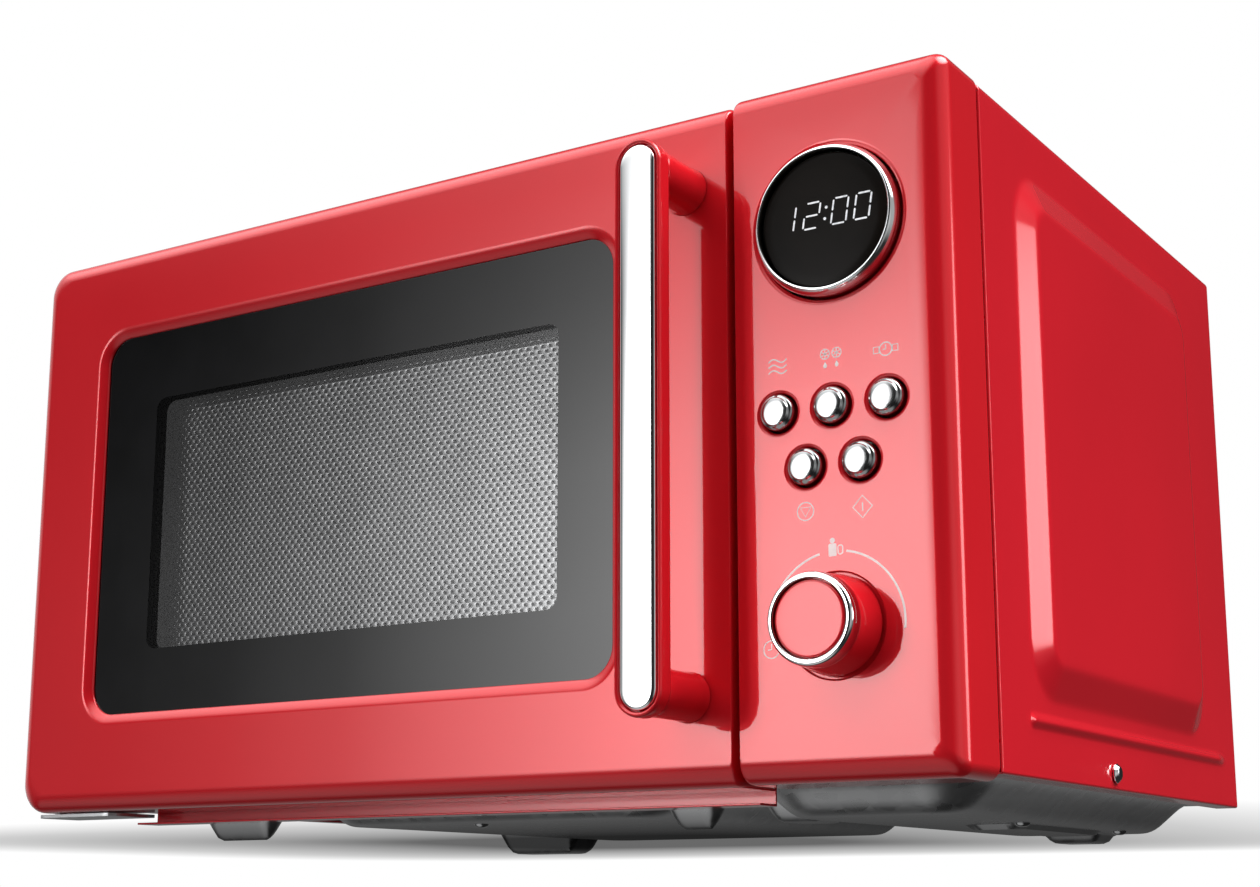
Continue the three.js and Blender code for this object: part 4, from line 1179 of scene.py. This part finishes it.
for look, width, names in [
    (RED_PAINT, 0.25, "front_plate"),
    (ENAMEL, 0.3, "cavity"),
    (GALVANISED, 0.3, "hinge_lower hinge_upper encoder"),
    (GALVANISED, 0.4, "waveguide turntable_motor"),
    (GALVANISED, 0.2, "rear_screw_left rear_screw_right rear_screw_top"),
    (PALE_PLASTIC, 0.4, "latch_bracket latch_hook"),
    (PALE_PLASTIC, 0.3, "fan_blade cavity_lamp roller_ring"),
    (DARK_PLASTIC, 0.3, "hv_diode thermal_cutout tray_roller_1 tray_roller_2 tray_roller_3"),
    (DARK_PLASTIC, 0.4, "door_switch_lower door_switch_upper cord_grommet"),
    (DARK_PLASTIC, 0.4, "air_duct display_module choke_cover"),
    (DARK_PLASTIC, 0.5, "fan_shroud tray_coupler"),
    (CHROME, 0.3, "cover_screw_left cover_screw_right"),
    (MICA, 0.2, "waveguide_cover"),
    (MAGNETRON, 0.5, "magnetron_body capacitor"),
    (MAGNETRON, 0.4, "transformer_core fan_motor"),
    (ALUMINIUM, 0.3, "magnetron_fins"),
    (COPPER, 0.5, "transformer_winding"),
    (BOARD, 0.2, "filter_board control_board"),
]:
    for node in names.split():
        bevelled(node, width, look)

control_panel()
door_frame()
window()
perforated_screen()
handle()
latch_coil()
buttons()
knob()
display()
printed_symbols()
outer_cover()
base_plate()
rear_plate()
tray()


# Floor and light ---------------------------------------------

def floor():
    """Plain pale floor for views from above; from below it is see-through, with a painted soft shadow round
    the object that also darkens whatever is seen through it.
    """
    mesh = bpy.data.meshes.new("floor")
    reach = 6.0
    mesh.from_pydata([(-reach, -reach, 0), (reach, -reach, 0), (reach, reach, 0), (-reach, reach, 0)], [],
                     [(0, 1, 2, 3)])
    obj = bpy.data.objects.new("floor", mesh)
    SCENE.collection.objects.link(obj)
    look = Look("pale_floor", (0.8, 0.8, 0.8), 0.7)
    look.vary(0.01, 3.0)
    place = look.node("ShaderNodeSeparateXYZ", {"Vector": look.coords})
    x = look.maths("MULTIPLY", look.maths("SUBTRACT", place.outputs[0], PAINTED_SHADOW["x"]), 1 / PAINTED_SHADOW["wide"])
    y = look.maths("MULTIPLY", look.maths("SUBTRACT", place.outputs[1], PAINTED_SHADOW["y"]), 1 / PAINTED_SHADOW["deep"])
    squares = look.maths("ADD", look.maths("POWER", look.maths("ABSOLUTE", x, 0), 4.0),
                         look.maths("POWER", look.maths("ABSOLUTE", y, 0), 4.0))
    away = look.maths("POWER", squares, 0.25)
    # Painted shadow: the see-through underside is tinted darker the nearer a point lies to the object's
    # footprint
    painted_shade = look.ramp(away, (0.24, PAINTED_SHADOW["dark"]), (0.41, 0.33), (0.73, 0.62), (1.0, 1.0))
    under = look.node("ShaderNodeBsdfTransparent", {"Color": painted_shade}).outputs[0]
    clear = look.node("ShaderNodeBsdfTransparent").outputs[0]
    side = look.node("ShaderNodeNewGeometry").outputs["Backfacing"]
    seen = look.node("ShaderNodeLightPath").outputs["Is Camera Ray"]
    faces = look.node("ShaderNodeMixShader", {0: side, 1: look.shader.outputs[0], 2: under}).outputs[0]
    mix = look.node("ShaderNodeMixShader", {0: seen, 1: clear, 2: faces})
    look.tree.links.new(mix.outputs[0], look.tree.nodes["Material Output"].inputs["Surface"])
    mesh.materials.append(look.material)


# Painted shadow on the floor's underside: centre, half width and half depth in metres, and the darkest tint
PAINTED_SHADOW = {"x": 0.01, "y": 0.0, "wide": 0.345, "deep": 0.27, "dark": 0.14}

# The main softbox by compass direction (degrees from the front towards the left) and height
ACROSS = [
    (20, 0.0), (22.2, 0.0), (23.2, 1.0), (28, 0.95), (32, 0.74), (36.3, 0.43), (38.8, 0.28), (41, 0.145),
    (44.3, 0.06), (47.5, 0.028), (60, 0.01),
]
UPWARD = [
    (-14, 0.0), (-7, 0.2), (0, 0.85), (5.4, 1.0), (11, 1.0), (15, 0.84), (20, 0.42), (23.5, 0.17),
    (28, 0.05), (40, 0.0),
]
SLANT_FROM, SLANT = 26.0, 0.3           # its height drops by this much per degree of turn
MAIN_STRENGTH, ROOM_STRENGTH = 8.7, 0.03


def studio():
    """White to the camera; for everything else a dark room with a broad softbox and soft fills."""
    world = bpy.data.worlds.new("studio")
    SCENE.world = world
    world.use_nodes = True
    world.node_tree.nodes.clear()
    nodes = Nodes(world.node_tree)
    maths = nodes.maths
    coords = nodes.node("ShaderNodeTexCoord").outputs["Generated"]
    x, y, z = nodes.node("ShaderNodeSeparateXYZ", {0: coords}).outputs

    def curve(value, stops):
        """Level at a value, along straight lines between (value, level) stops."""
        low = stops[0][0]
        span = stops[-1][0] - low
        fraction = maths("MULTIPLY", maths("SUBTRACT", value, low), 1 / span)
        return nodes.ramp(fraction, *(((position - low) / span, level) for position, level in stops))

    def lobe(direction, inner, outer, strength):
        """Soft-edged patch of light: full within inner degrees and gone past outer."""
        vectors = {0: coords, 1: Vector(direction).normalized()}
        dot = nodes.node("ShaderNodeVectorMath", vectors, operation="DOT_PRODUCT").outputs["Value"]
        inputs = {"Value": dot, "To Max": strength}
        inputs["From Min"] = math.cos(math.radians(outer))
        inputs["From Max"] = math.cos(math.radians(inner))
        return nodes.node("ShaderNodeMapRange", inputs, interpolation_type="SMOOTHSTEP").outputs["Result"]

    turn = maths("DEGREES", maths("ARCTAN2", maths("MULTIPLY", x, -1.0), maths("MULTIPLY", y, -1.0)))
    height = maths("DEGREES", maths("ARCSINE", z))
    slant = maths("ADD", height, maths("MULTIPLY", maths("SUBTRACT", turn, SLANT_FROM), SLANT))
    main = maths("MULTIPLY", curve(turn, ACROSS), curve(slant, UPWARD))
    total = maths("ADD", maths("MULTIPLY", main, MAIN_STRENGTH), ROOM_STRENGTH)
    for light in FILLS:
        total = maths("ADD", total, lobe(*light))
    room = nodes.node("ShaderNodeBackground", {"Strength": total}).outputs[0]
    backdrop = nodes.node("ShaderNodeBackground", {"Color": (1, 1, 1, 1)}).outputs[0]
    seen = nodes.node("ShaderNodeLightPath").outputs["Is Camera Ray"]
    mix = nodes.node("ShaderNodeMixShader", {0: seen, 1: room, 2: backdrop}).outputs[0]
    nodes.node("ShaderNodeOutputWorld", {"Surface": mix})


# Fill lights: direction, inner and outer angle, and brightness
FILLS = [
    ((0.55, 0.15, 0.82), 8, 30, 14.0),
    ((0.9, 0.05, 0.3), 15, 45, 0.5),
    ((0.86, 0.47, 0.18), 6, 12, 5.5),
    ((0.6, -0.3, -0.1), 5, 30, 0.35),
    ((-0.3, -0.4, 0.87), 15, 45, 3.3),
    ((0, 0.2, 1), 15, 60, 0.2),
    ((-0.5, 0.75, -0.25), 15, 50, 0.17),
    ((-0.3, -0.5, -0.81), 20, 45, 0.6),
    ((-0.95, 0.1, 0.3), 10, 40, 0.8),
]


floor()
studio()
SCENE.view_settings.view_transform = "Standard"
